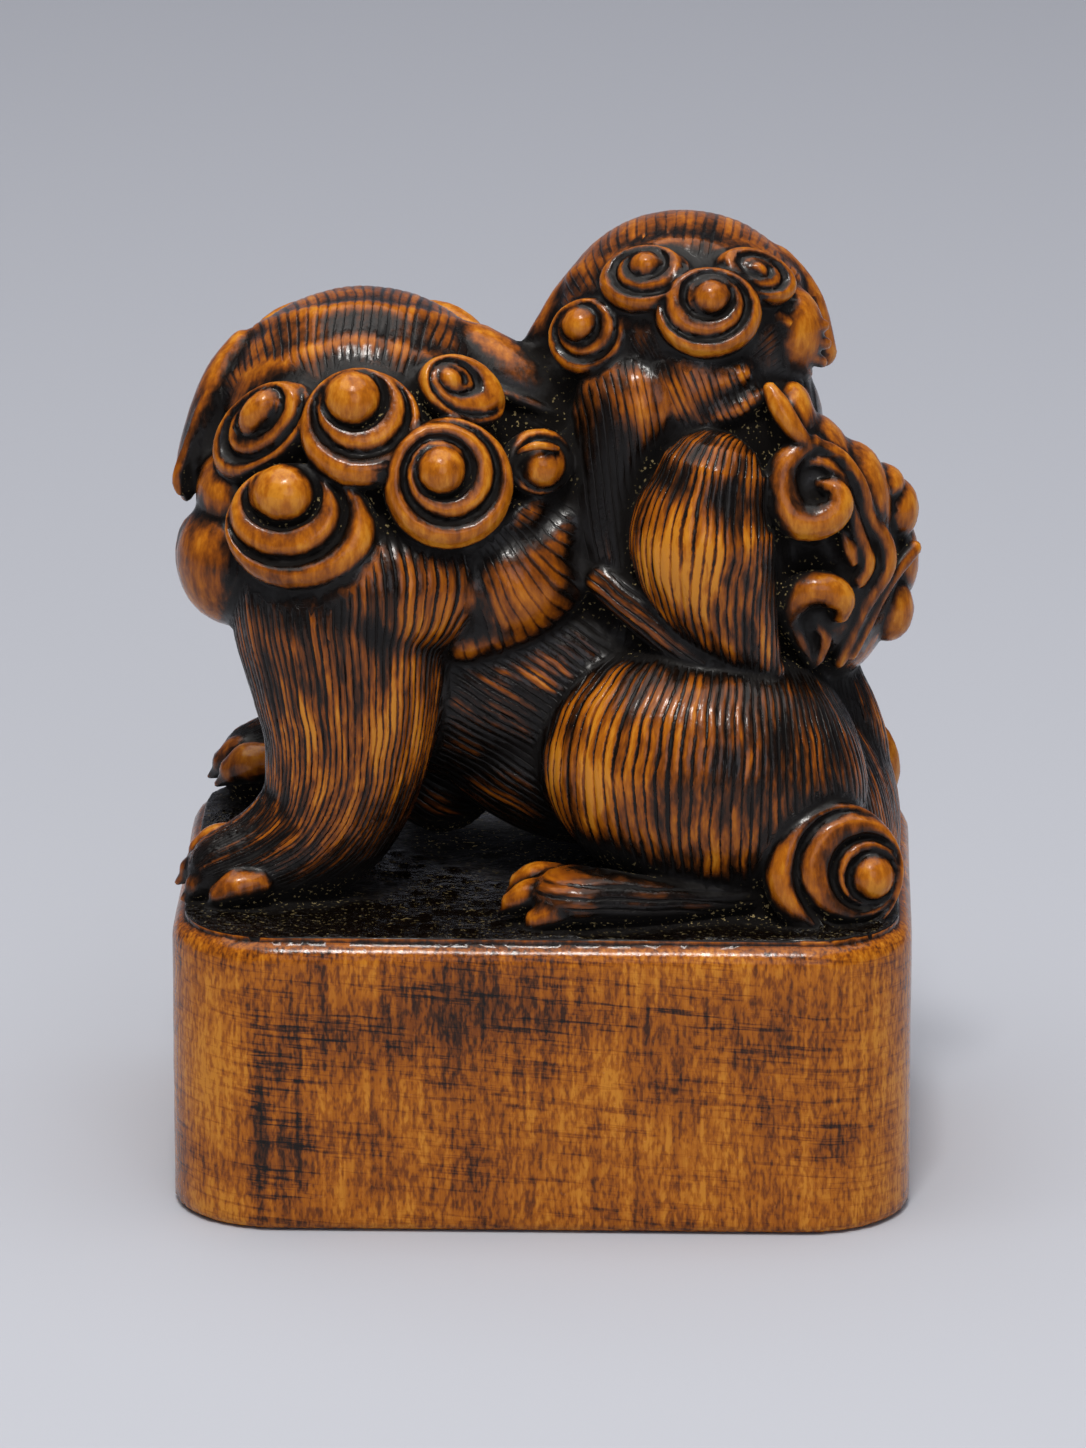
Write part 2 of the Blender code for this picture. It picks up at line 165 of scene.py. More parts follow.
def swells(points, size, seed=0):
    """Smooth noise between -1 and 1, whose swells are about size across."""
    grid = points / size + seed * 17.31
    corner = np.floor(grid).astype(np.int64)
    share = grid - corner
    share = share * share * (3 - 2 * share)
    total = np.zeros(len(points))
    for step in itertools.product((0, 1), repeat=3):
        cell = corner + step
        code = cell[:, 0] * 73856093 ^ cell[:, 1] * 19349663 ^ cell[:, 2] * 83492791 ^ seed * 7919
        code = (code ^ (code >> 13)) * 1274126177 & 0x7FFFFFFF
        code = (code ^ (code >> 11)) * 668265263 & 0x7FFFFFFF
        weight = np.prod(np.where(step, share, 1 - share), axis=1)
        total += weight * ((code >> 8 & 0xFFFF) / 32767.5 - 1)
    return total


def smooth_path(stations, passes=PATH_PASSES):
    """The path of a limb: its corners cut until it is round, its ends kept."""
    path = np.array(stations, float)
    for _ in range(passes):
        near = path[:-1] * 0.75 + path[1:] * 0.25
        far = path[:-1] * 0.25 + path[1:] * 0.75
        near[0], far[-1] = path[0], path[-1]
        path = np.stack((near, far), 1).reshape(-1, path.shape[1])
    return path


def along_path(points, path):
    """For each point: the share along the nearest segment, that segment, and the distance to the skin."""
    best = np.full(len(points), 1e9)
    segment = np.zeros(len(points), int)
    share = np.zeros(len(points))
    for index in range(len(path) - 1):
        start, end = path[index], path[index + 1]
        way = end[:3] - start[:3]
        length = way @ way
        if length < 1e-9:
            continue
        part = np.clip((points - start[:3]) @ way / length, 0, 1)
        away = points - start[:3] - part[:, None] * way
        skin = np.sqrt(dots(away, away)) - (start[3] + part * (end[3] - start[3]))
        closer = skin < best
        best[closer] = skin[closer]
        segment[closer] = index
        share[closer] = part[closer]
    return segment, share, best


# A lock's face, in shares of its radius: how high it stands, how deep the groove is, and how wide
# the rounding at the rim. The rounded flank of a band is given as a share of the band
FACE_HEIGHT = 0.3
GROOVE_DEPTH = 0.3
RIM = 0.3
FLANK = 0.36


def whorl(flat, knob, heart, tip, way, turns):
    """Height of a lock's face at points within a unit circle, grooved from its rim in to its knob.

    Circles that pass from the knob to the rim give each point its share of the way out. The groove
    winds in through these shares, so that the bands are broad where the knob leaves them room.
    """
    heart = np.array(heart, float)
    away = flat - heart
    bend = heart @ heart - (1 - knob) ** 2
    slope = 2 * (away @ heart - knob * (1 - knob))
    level = dots(away, away) - knob**2
    root = np.sqrt(np.maximum(slope**2 - 4 * bend * level, 0))
    share = np.clip(2 * level / np.maximum(root - slope, 1e-6), 0, 1)
    ray = flat - heart * (1 - share[:, None])
    angle = np.degrees(np.arctan2(ray[:, 1], ray[:, 0]))
    round_it = (way * (angle - tip)) % 360 / 360
    phase = (round_it**0.6 - turns * (1 - share**0.6)) % 1
    edge = np.minimum(phase, 1 - phase)
    band = np.sqrt(np.clip(1 - (1 - np.minimum(edge / FLANK, 1)) ** 2, 0, 1))
    towards = ray / np.maximum(np.linalg.norm(ray, axis=1), 1e-6)[:, None]
    room = 1 - knob - towards @ heart
    deep = GROOVE_DEPTH * np.clip(room / 0.4, 0.15, 1)
    collar = 0.1 * (1 - smoothstep(0.0, 0.12, share)) * smoothstep(0.1, 0.3, round_it)
    rounding = np.sqrt(np.clip(1 - (np.maximum(share - (1 - RIM), 0) / RIM) ** 2, 0, 1))
    return (FACE_HEIGHT - deep * (1 - band) - collar) * rounding


class Figures:
    """Gathers the rounded forms of the two animals, and remembers which comb dresses each."""

    FAR = 9.0
    MARGIN = 1.6

    def __init__(self):
        self.soft = []
        self.crisp = []
        self.curves = []
        self.masses = []

    def keep(self, obj, crisp):
        (self.crisp if crisp else self.soft).append(obj)

    def remember(self, comb, low, high, distance):
        if comb is None:
            return
        self.masses.append((comb, np.array(low) - self.MARGIN, np.array(high) + self.MARGIN, distance))

    def ball(self, centre, radii, turn=(0, 0, 0), comb="bare", crisp=False):
        """An egg of these half sizes, turned by Euler angles in degrees."""
        bpy.ops.mesh.primitive_uv_sphere_add(
            segments=BALL_SEGMENTS,
            ring_count=BALL_RINGS,
            radius=1,
            location=centre,
            rotation=[math.radians(a) for a in turn],
            scale=radii,
        )
        self.keep(bpy.context.object, crisp)
        rotation = np.array(Euler([math.radians(a) for a in turn]).to_matrix())
        middle, sizes = np.array(centre, float), np.array(radii, float)

        def distance(points):
            local = (points - middle) @ rotation / sizes
            k0 = np.linalg.norm(local, axis=1)
            k1 = np.linalg.norm(local / sizes, axis=1) + 1e-9
            return k0 * (k0 - 1) / k1

        reach = max(sizes)
        self.remember(comb, middle - reach, middle + reach, distance)

    def limb(self, stations, flat=None, comb="bare", crisp=False):
        """A rounded limb through (x, y, z, radius) stations, thinned along a direction by flat."""
        squeeze = Matrix.Scale(flat[1], 4, Vector(flat[0]).normalized()) if flat else Matrix.Identity(4)
        stretched = [(*(squeeze.inverted() @ Vector(s[:3])), s[3]) for s in stations]
        path = smooth_path(stretched)
        rounded = []
        for tip, inner in ((path[0], path[1]), (path[-1], path[-2])):
            out = (tip - inner)[:3]
            out /= np.linalg.norm(out) + 1e-9
            cap = []
            for angle in END_ANGLES:
                turn = math.radians(angle)
                cap.append((*(tip[:3] + out * tip[3] * math.sin(turn)), tip[3] * math.cos(turn)))
            rounded.append(cap)
        points = [*reversed(rounded[0]), *map(tuple, path), *rounded[1]]
        curve = bpy.data.curves.new("limb", "CURVE")
        curve.dimensions = "3D"
        curve.bevel_depth = 1.0
        curve.bevel_resolution = TUBE_RESOLUTION
        curve.use_fill_caps = True
        spline = curve.splines.new("POLY")
        spline.points.add(len(points) - 1)
        for point, (x, y, z, radius) in zip(spline.points, points):
            point.co = (x, y, z, 1)
            point.radius = radius
        holder = bpy.data.objects.new("limb", curve)
        bpy.context.scene.collection.objects.link(holder)
        self.curves.append((holder, squeeze, crisp))
        back = np.array(squeeze.inverted().to_3x3())
        real = np.array(squeeze.to_3x3())
        ends = path[:, :3] @ real.T
        widest = path[:, 3].max()
        coarse = smooth_path(stretched, COARSE_PATH_PASSES)

        def distance(points):
            return along_path(points @ back.T, coarse)[2]

        self.remember(comb, ends.min(0) - widest, ends.max(0) + widest, distance)

    def lock(self, centre, facing, radius, tip, way, turns=2.8, knob=0.4, heart=(0, 0), squash=1.0, lean=0):
        """A snail-like lock of the mane: a thick bun with a spiral groove on its face, and a knob.

        Seen from outside, the whorl begins as a thin tip at the angle tip, in degrees anticlockwise
        from the right, and winds in by turns, anticlockwise where way is 1 and clockwise where it is
        -1. The knob stands at heart. squash makes the lock an oval whose long side leans by lean.
        """
        out = Vector(facing).normalized()
        right = Vector((0, 0, 1)).cross(out).normalized()
        place = Matrix((right, out.cross(right), out)).transposed().to_4x4()
        place.translation = centre
        tilt = Matrix.Rotation(math.radians(lean), 4, "Z")
        place = place @ tilt @ Matrix.Diagonal((1, squash, 1, 1)) @ tilt.inverted()

        bpy.ops.mesh.primitive_uv_sphere_add(segments=LOCK_SEGMENTS, ring_count=LOCK_RINGS, radius=1)
        bun = bpy.context.object
        points = vertices_of(bun.data)
        above = points[:, 2] > 1e-4
        spread = np.hypot(points[:, 0], points[:, 1])
        fuller = np.where(above | (spread < 1e-6), 1, spread**0.5 / np.maximum(spread, 1e-6))
        top = whorl(points[:, :2], knob, heart, tip, way, turns)
        points[:, 2] = np.where(above, top, points[:, 2] * 0.85)
        points[:, :2] *= fuller[:, None]
        move_vertices(bun.data, points * radius)
        bun.data.transform(place)
        self.keep(bun, True)

        bpy.ops.mesh.primitive_uv_sphere_add(segments=BALL_SEGMENTS, ring_count=BALL_RINGS, radius=1)
        ball = bpy.context.object
        size = radius * knob
        raised = radius * (0.14 + 0.18 * knob)
        at_heart = Matrix.Translation((radius * heart[0], radius * heart[1], raised))
        ball.data.transform(place @ at_heart @ Matrix.Diagonal((size, size / squash**0.6, size * 0.9, 1)))
        self.keep(ball, True)
        self.ball_like(centre, out, radius * 1.05)

    def ball_like(self, centre, out, reach):
        """Lets a lock keep hair off its own disc."""
        middle, way = np.array(centre, float), np.array(out, float)

        def distance(points):
            away = points - middle
            depth = away @ way
            flat = np.linalg.norm(away - depth[:, None] * way, axis=1)
            return np.maximum(flat - reach, np.abs(depth) - reach * 0.6)

        self.remember("bare", middle - reach, middle + reach, distance)

    def gather(self):
        """Turns the limbs to meshes and joins the forms: the soft masses, and the crisp ones."""
        only(*[holder for holder, _, _ in self.curves])
        bpy.ops.object.convert(target="MESH")
        for holder, squeeze, crisp in self.curves:
            holder.data.transform(squeeze)
            self.keep(holder, crisp)
        joined = []
        for name, forms in (("soft_masses", self.soft), ("crisp_forms", self.crisp)):
            only(*forms)
            bpy.ops.object.join()
            whole = bpy.context.object
            whole.name = name
            bpy.ops.object.transform_apply(location=True, rotation=True, scale=True)
            joined.append(whole)
        return joined


def face(figures, head, scale):
    """Muzzle, nose, jaw, eyes, brows, fangs, beard and cheek locks of a head turned to +Y."""

    def at(x, y, z):
        return head + Vector((x, y, z)) * scale

    def trail(side, stations):
        return [(*at(side * x, y, z), r * scale) for x, y, z, r in stations]

    def sized(*radii):
        return tuple(r * scale for r in radii)

    def egg(place, radii, turn=(0, 0, 0)):
        figures.ball(at(*place), sized(*radii), turn, crisp=True)

    egg((0, 4.6, -1.2), (3.9, 3.4, 3.0))
    egg((0, 5.2, -4.4), (2.8, 2.9, 1.2), (-8, 0, 0))
    egg((0, 8.0, 0.1), (1.5, 1.1, 1.0))
    figures.limb(trail(1, [(0, 5.6, 2.4, 0.9), (0, 7.2, 1.2, 0.9), (0, 8.0, 0.4, 0.8)]), crisp=True)
    brow = [(0.8, 6.8, 1.9, 0.55), (2.2, 6.5, 2.9, 0.75), (4.0, 5.2, 2.6, 0.75), (5.0, 4.0, 1.3, 0.5)]
    lip = [(2.6, 6.4, -3.0, 0.5), (3.8, 5.0, -2.6, 0.55), (4.4, 4.0, -1.2, 0.45)]
    upper_lip = [
        (0.2, 8.4, -1.5, 0.35), (1.6, 8.0, -2.1, 0.45), (2.9, 6.9, -2.3, 0.45), (4.0, 5.2, -1.9, 0.3),
    ]
    lower_lip = [(0.2, 8.1, -4.2, 0.4), (1.5, 7.5, -4.1, 0.45), (2.6, 6.2, -3.7, 0.4)]
    lid = [(1.3, 6.5, 0.9, 0.22), (2.3, 6.75, 1.9, 0.3), (3.5, 5.9, 1.2, 0.22)]
    for side in (-1, 1):
        egg((side * 1.35, 7.8, -0.3), (0.85, 0.8, 0.7))
        egg((side * 1.7, 6.9, -1.6), (1.9, 1.5, 1.1), (0, side * 14, side * -18))
        egg((side * 2.45, 5.6, 1.2), (1.2, 1.1, 1.05))
        for line in (brow, lip, upper_lip, lower_lip, lid):
            figures.limb(trail(side, line), crisp=True)
        egg((side * 1.9, 7.3, -2.9), (0.4, 0.4, 0.8))
        for tooth in range(3):
            egg((side * (0.3 + 0.5 * tooth), 7.9 - 0.15 * tooth, -2.7), (0.22, 0.25, 0.45))
        for place, facing, size, turn in (
            ((4.9, 2.8, -1.9), (0.8, 0.6, 0), 1.9, -1),
            ((3.3, 3.8, -5.0), (0.6, 0.8, -0.2), 1.7, -1),
            ((1.2, 5.2, -6.2), (0.3, 0.9, -0.4), 1.3, -1),
            ((1.9, 4.9, 3.1), (0.3, 0.8, 0.5), 1.2, 1),
        ):
            way = (side * facing[0], facing[1], facing[2])
            figures.lock(at(side * place[0], *place[1:]), way, size * scale, 90, side * turn, 2.2)


def toes(figures, roots, tips, radius):
    """A row of short toes, each a knuckle and a blunt tip with a small tucked claw."""
    for root, tip in zip(roots, tips):
        root, tip = Vector(root), Vector(tip)
        along = (tip - root).normalized()
        knuckle = root.lerp(tip, 0.62) + Vector((0, 0, radius * 0.22))
        figures.limb([(*root, radius * 0.85), (*knuckle, radius), (*tip, radius * 0.72)], crisp=True)
        claw = tip + along * radius * 0.5 + Vector((0, 0, -radius * 0.3))
        nail = claw + Vector((along.x, along.y, -0.7)) * radius * 0.35
        figures.limb([(*claw, radius * 0.36), (*nail, radius * 0.16)], crisp=True)


NEAR_LEG = [
    (-8.5, -3.2, 26.8, 4.2),
    (-8.2, -4.3, 24.2, 4.7),
    (-7.9, -4.8, 21.2, 4.05),
    (-7.9, -5.0, 18.4, 3.4),
    (-8.7, -5.0, 15.6, 3.0),
    (-10.6, -5.4, 14.1, 2.45),
    (-12.6, -5.7, 13.5, 1.95),
]
FAR_LEG = [(x + 0.5, -y + 2.5 * min(1, (26.8 - z) / 10), z + 0.3, r) for x, y, z, r in NEAR_LEG]
LEG_FLAT = ((0, 1, 0), 0.82)


def hind_leg(figures, side):
    """A haunch like a great drop, and the foot laid forward along the block's edge."""
    figures.ball((6.5, side * 4.9, 17.7), (6.8, 4.8, 5.3), (0, 14, 0), comb="rump")
    figures.ball((8.8, side * 3.5, 16.7), (4.4, 4.9, 5.8), (0, -8, 0), comb="rump")
    foot = [(9.2, 7.0, 13.4, 0.8), (6.6, 8.1, 13.2, 0.75), (4.2, 8.8, 13.4, 1.0), (2.2, 9.0, 13.6, 1.25)]
    figures.limb([(x, side * y, z, r) for x, y, z, r in foot], comb="foot", crisp=True)
    figures.ball((1.4, side * 8.8, 13.6), (1.9, 1.7, 1.15), comb="foot", crisp=True)
    toes(
        figures,
        [(0.7, side * 7.9, 14.0), (0.5, side * 8.8, 13.7), (1.5, side * 9.6, 13.3)],
        [(-0.8, side * 7.6, 13.7), (-1.1, side * 8.8, 13.25), (-0.1, side * 9.9, 12.9)],
        0.72,
    )


MANE_ROLLS = (
    [(-4.1, -5.3, 27.3, 0.8), (-2.3, -5.1, 27.5, 0.85), (-0.7, -4.5, 28.4, 0.8), (0.4, -3.4, 29.8, 0.6),
     (0.7, -2.7, 31.0, 0.4)],
    [(-3.8, -5.6, 25.3, 1.1), (-1.9, -5.4, 25.5, 1.1), (0.0, -4.7, 26.6, 1.0), (1.3, -3.5, 28.4, 0.8),
     (1.8, -2.7, 30.2, 0.5)],
    [(-3.3, -5.1, 23.4, 1.1), (-1.1, -5.0, 24.0, 1.1), (1.0, -4.2, 25.3, 1.0), (2.2, -3.2, 27.0, 0.8)],
)


def shishi_body(figures):
    """Trunk, legs, the rolls of the mane at the shoulder, and the tail's two curls."""
    for centre, radii, turn, comb in (
        ((-0.4, 0.3, 20.8), (9.6, 6.1, 5.5), (0, 6, 0), "flank"),
        ((0.3, 0.3, 17.9), (6.2, 5.6, 4.3), (0, 27, 0), "flank"),
        ((-7.4, 0.6, 24.6), (4.8, 5.8, 5.4), (0, 0, 0), "foreleg"),
        ((-6.9, -3.4, 25.4), (5.5, 4.6, 3.8), (0, 0, 0), "foreleg"),
        ((-4.4, 2.2, 16.4), (2.8, 3.6, 3.5), (0, 0, 0), "flank"),
        ((9.3, 0.3, 13.6), (5.35, 8.3, 6.8), (0, 0, 0), "rump"),
        ((4.5, 0.3, 22.6), (6.6, 5.2, 4.0), (0, 0, 0), "rump"),
        ((-1.2, 0.3, 27.2), (4.0, 4.8, 3.8), (0, 0, 0), "neck"),
        ((0.0, 1.0, 30.4), (3.0, 3.2, 3.4), (0, 0, 0), "neck"),
        ((-1.6, -3.2, 25.4), (3.4, 3.4, 3.0), (0, -25, 0), "rolls"),
    ):
        figures.ball(centre, radii, turn, comb)
    figures.limb(NEAR_LEG, LEG_FLAT, comb="foreleg")
    figures.limb(FAR_LEG, LEG_FLAT, comb="far_foreleg")
    for tips, size in (
        ([(-14.0, -4.1, 13.9), (-14.3, -5.2, 13.4), (-14.0, -6.4, 13.1), (-13.0, -7.4, 13.0)], 0.78),
        ([(-13.2, 6.2, 14.1), (-13.6, 7.6, 14.0), (-13.4, 9.0, 13.8), (-12.6, 9.9, 13.4)], 0.95),
    ):
        toes(figures, [(x + 1.5, y * 0.96, z + 0.45) for x, y, z in tips], tips, size)
    hind_leg(figures, -1)
    hind_leg(figures, 1)
    for roll in MANE_ROLLS:
        figures.limb(roll, comb="rolls")
    figures.lock((11.8, -8.2, 14.5), (0.35, -0.9, 0.15), 2.85, 40, 1, 2.6, knob=0.33, heart=(0.5, -0.1))
    figures.lock((12.7, 6.4, 14.9), (0.72, 0.68, 0.1), 2.4, 90, 1, 2.2)
    figures.limb([(11.0, 0, 20.5, 1.8), (12.6, 0, 18.0, 1.5), (13.0, 0.5, 15.0, 1.3)], comb="rump")


LEFT_EAR = [
    (-12.5, 0.9, 33.4, 1.2),
    (-13.4, 0.4, 32.0, 1.6),
    (-14.0, 0.0, 30.2, 1.7),
    (-14.65, -0.6, 28.9, 1.2),
    (-14.65, -1.0, 28.4, 0.7),
]
RIGHT_EAR = [
    (-3.2, 0.4, 33.3, 1.8),
    (-1.6, -0.1, 32.7, 1.7),
    (-0.1, -0.7, 32.1, 1.1),
    (0.7, -1.2, 31.7, 0.5),
]


# Curls down the napes: centre, facing, radius, tip, way, turns, knob, heart, squash and lean
SHISHI_LOCKS = (
    ((-11.2, -4.1, 31.6), (-0.6, -0.75, 0.35), 2.7, 70, -1, 2.1, 0.36, (-0.1, 0.36), 0.62, 44),
    ((-7.3, -5.4, 32.1), (0.0, -0.85, 0.5), 2.5, 100, -1, 1.9, 0.46, (-0.14, 0.46), 0.97),
    ((-3.3, -4.2, 33.4), (0.35, -0.8, 0.5), 1.9, -25, -1, 1.9, 0.28, (-0.3, 0.25), 0.74, -32),
    ((-9.7, -6.3, 28.2), (-0.12, -0.88, 0.45), 3.1, 150, 1, 2.0, 0.42, (-0.22, 0.5), 0.82),
    ((-3.8, -6.2, 30.1), (0.15, -0.93, 0.35), 2.65, 110, -1, 2.0, 0.38, (-0.12, 0.18)),
    ((-0.2, -4.3, 30.5), (0.4, -0.9, 0.3), 1.5, 20, -1, 1.3, 0.66, (0, -0.1), 0.9),
    ((-13.3, -3.4, 26.0), (-0.8, -0.6, 0.1), 2.4, 60, -1, 1.8, 0.4, (0.15, 0.3), 0.9),
)
CUB_LOCKS = (
    ((4.1, -2.4, 37.6), (-0.25, -0.7, 0.65), 1.95, 60, -1, 2.0, 0.33, (-0.05, 0.33), 0.74, 8),
    ((1.8, -2.3, 35.2), (-0.4, -0.85, 0.3), 1.75, 80, -1, 1.9, 0.42, (-0.2, 0.28), 0.9, 20),
    ((6.6, -3.3, 36.5), (0.1, -0.88, 0.45), 2.15, 140, 1, 2.1, 0.36, (0.05, 0.3), 0.86),
    ((8.5, -2.0, 37.7), (0.35, -0.7, 0.6), 1.75, 150, 1, 2.0, 0.24, (0.0, 0.1), 0.62, -28),
)


def bands(figures, head, radii, ways, thick, comb):
    """Low bands of hair round a head, each laid through directions from its middle, on both sides."""
    for band in ways:
        for side in (-1, 1):
            stations = []
            for way in band:
                reach = Vector((side * way[0], way[1], way[2])).normalized()
                skin = Vector(a * b for a, b in zip(reach, radii))
                depth = 1 - (thick - 0.22) / skin.length
                stations.append((*(Vector(head) + skin * depth), thick))
            figures.limb(stations, comb=comb)


def shishi_head(figures):
    """The mother's head: parted crown bands, ears, and seven curls down the nape."""
    figures.ball(SHISHI_HEAD, SHISHI_HEAD_RADII, comb="crown")
    lower_band = ((0.86, -0.2, 0.3), (0.66, -0.48, 0.52), (0.36, -0.62, 0.68), (0.07, -0.62, 0.78))
    upper_band = ((0.7, 0.05, 0.66), (0.45, -0.2, 0.85), (0.2, -0.3, 0.93), (0.06, -0.28, 0.96))
    bands(figures, SHISHI_HEAD, SHISHI_HEAD_RADII, (lower_band, upper_band), 0.85, "crown")
    figures.limb(LEFT_EAR, ((1, 0, 0), 0.5))
    for shift in (0.0, 0.95):
        rim = [(x - 0.3 * r + shift, y - 0.8 * r, z, 0.3 * min(1, r)) for x, y, z, r in LEFT_EAR]
        figures.limb(rim, crisp=True)
    figures.limb(RIGHT_EAR)
    fold = [(x, y - 0.95 * r, z - 0.1, 0.28) for x, y, z, r in RIGHT_EAR]
    figures.limb(fold, crisp=True)
    for lock in SHISHI_LOCKS:
        figures.lock(*lock)
    figures.limb(
        [(-1.0, -5.5, 31.2, 0.12), (-0.3, -5.6, 31.6, 0.2), (0.6, -5.2, 31.3, 0.12)], comb=None, crisp=True
    )
    figures.ball((-12.5, -2.6, 25.9), (2.5, 2.8, 2.8))
    figures.ball((-12.4, -2.2, 28.6), (1.8, 2.4, 2.0))
    face(figures, SHISHI_HEAD, 1.0)


def flame_tail(figures):
    """The cub's tail: a mound up its back with two hooked locks, wavy strands and side lobes."""
    figures.ball((11.6, -0.4, 25.4), (2.9, 3.7, 4.9))
    figures.ball((10.6, -2.3, 29.1), (2.1, 2.5, 3.0))
    figures.ball((12.4, -1.8, 27.9), (1.7, 2.1, 2.9))
    figures.ball((11.0, -2.2, 24.2), (2.0, 2.3, 2.4))
    figures.ball((10.0, -2.9, 31.6), (1.0, 1.5, 2.0))
    upper_hook = [
        (10.82, -4.3, 31.35, 0.4), (9.89, -4.6, 30.87, 0.6), (9.50, -4.8, 30.08, 0.72),
        (9.63, -4.9, 29.01, 0.85), (10.28, -5.0, 28.25, 0.85), (11.32, -4.9, 28.3, 0.8),
        (11.95, -4.8, 28.92, 0.7), (11.75, -4.7, 29.6, 0.5), (11.23, -4.6, 29.7, 0.3),
    ]
    lower_hook = [
        (10.89, -3.9, 22.03, 0.3), (9.94, -4.3, 23.90, 0.5), (9.95, -4.5, 24.63, 0.7),
        (10.46, -4.6, 25.3, 0.8), (11.39, -4.6, 25.4, 0.75), (12.05, -4.5, 24.9, 0.7),
        (12.0, -4.4, 24.3, 0.45),
    ]
    tongue = [(10.8, -4.2, 24.1, 0.25), (11.5, -4.1, 23.2, 0.35), (11.09, -3.9, 22.2, 0.3)]
    first = [
        (10.34, -4.4, 30.31, 0.2), (10.82, -4.5, 30.73, 0.28), (11.47, -4.4, 30.55, 0.3),
        (12.1, -4.2, 29.70, 0.3), (12.42, -4.0, 28.30, 0.3), (12.9, -3.7, 26.81, 0.36),
        (13.1, -3.6, 26.11, 0.42), (12.75, -3.7, 25.50, 0.38),
    ]
    second = [
        (10.82, -4.3, 31.35, 0.3), (11.87, -4.1, 30.92, 0.34), (12.81, -3.8, 29.56, 0.34),
        (13.07, -3.5, 28.04, 0.34), (13.8, -3.1, 26.97, 0.42), (13.9, -3.0, 25.84, 0.5),
        (12.86, -3.3, 24.27, 0.42), (12.23, -3.3, 22.62, 0.36), (11.95, -3.3, 21.89, 0.3),
    ]
    third = [
        (15.0, -1.6, 26.22, 0.35), (14.0, -2.5, 25.27, 0.36), (13.12, -2.9, 23.44, 0.3),
        (12.48, -3.1, 22.13, 0.25),
    ]
    flame = [(12.02, -4.0, 27.66, 0.15), (12.31, -4.1, 26.94, 0.32), (12.5, -4.0, 26.3, 0.2)]
    leaf = [
        (9.11, -4.3, 33.6, 0.3), (9.44, -4.5, 33.0, 0.5), (9.92, -4.7, 32.2, 0.45),
        (10.5, -4.5, 31.5, 0.35),
    ]
    for strand in (upper_hook, lower_hook, tongue, first, second, third, flame, leaf):
        figures.limb(strand, crisp=True)
    for centre, radii in (
        ((13.6, -1.0, 28.8), (1.0, 1.1, 0.8)),
        ((14.25, -0.6, 27.6), (0.95, 1.2, 1.3)),
        ((14.3, 0.2, 25.3), (0.95, 1.5, 1.8)),
        ((13.95, -1.0, 23.5), (1.1, 1.2, 1.4)),
    ):
        figures.ball(centre, radii, crisp=True)
    figures.lock((12.2, 3.0, 26.6), (0.75, 0.65, 0), 1.8, 90, 1)
    figures.lock((12.2, 3.0, 22.8), (0.75, 0.65, 0), 1.8, 90, -1)


def cub_body(figures):
    """Trunk, legs and ribs."""
    figures.ball((6.3, 0.5, 30.8), (5.0, 4.8, 4.6), comb="cub_trunk")
    figures.ball((7.6, 0.2, 26.6), (4.6, 5.2, 5.4), (0, -12, 0), comb="cub_trunk")
    for side in (-1, 1):
        figures.ball((7.3, side * 4.4, 27.0), (2.1, 2.9, 4.2), (0, -8, 0), comb="cub_haunch", crisp=True)
    figures.ball((5.7, 0.0, 33.0), (4.1, 4.5, 3.4), (0, -20, 0), comb="ribs")
    haunch = [
        (6.7, 5.1, 29.7, 2.35), (6.3, 5.3, 28.1, 3.0), (6.6, 5.4, 26.5, 2.9), (7.3, 5.5, 24.9, 2.4),
        (8.2, 5.6, 23.4, 1.6), (9.1, 5.6, 22.2, 0.7),
    ]
    foot = [(8.0, 5.9, 21.9, 0.9), (6.3, 5.8, 22.9, 1.05), (3.9, 5.2, 24.6, 0.95), (2.4, 4.7, 25.7, 0.75)]
    arm = [(3.7, 2.2, 32.4, 2.6), (2.8, 2.7, 30.2, 2.1), (2.6, 3.4, 27.6, 1.6), (2.9, 4.0, 25.9, 1.2)]
    ribs = (
        [(3.4, 3.2, 33.2, 0.4), (5.1, 3.65, 34.3, 0.5), (7.0, 3.4, 34.9, 0.4)],
        [(3.9, 3.6, 32.3, 0.4), (5.9, 4.05, 33.3, 0.5), (8.0, 3.6, 34.0, 0.4)],
        [(5.1, 3.9, 31.6, 0.4), (7.1, 4.15, 32.4, 0.5), (8.8, 3.6, 33.1, 0.4)],
        [(3.5, 3.1, 33.4, 0.4), (3.3, 3.5, 32.4, 0.45), (3.5, 3.8, 31.3, 0.4)],
    )
    for side in (-1, 1):
        for stations, comb, crisp in (
            (haunch, "cub_haunch", True),
            (foot, "cub_foot", True),
            (arm, "cub_trunk", False),
            *((rib, "ribs", False) for rib in ribs),
        ):
            figures.limb([(x, side * y, z, r) for x, y, z, r in stations], comb=comb, crisp=crisp)


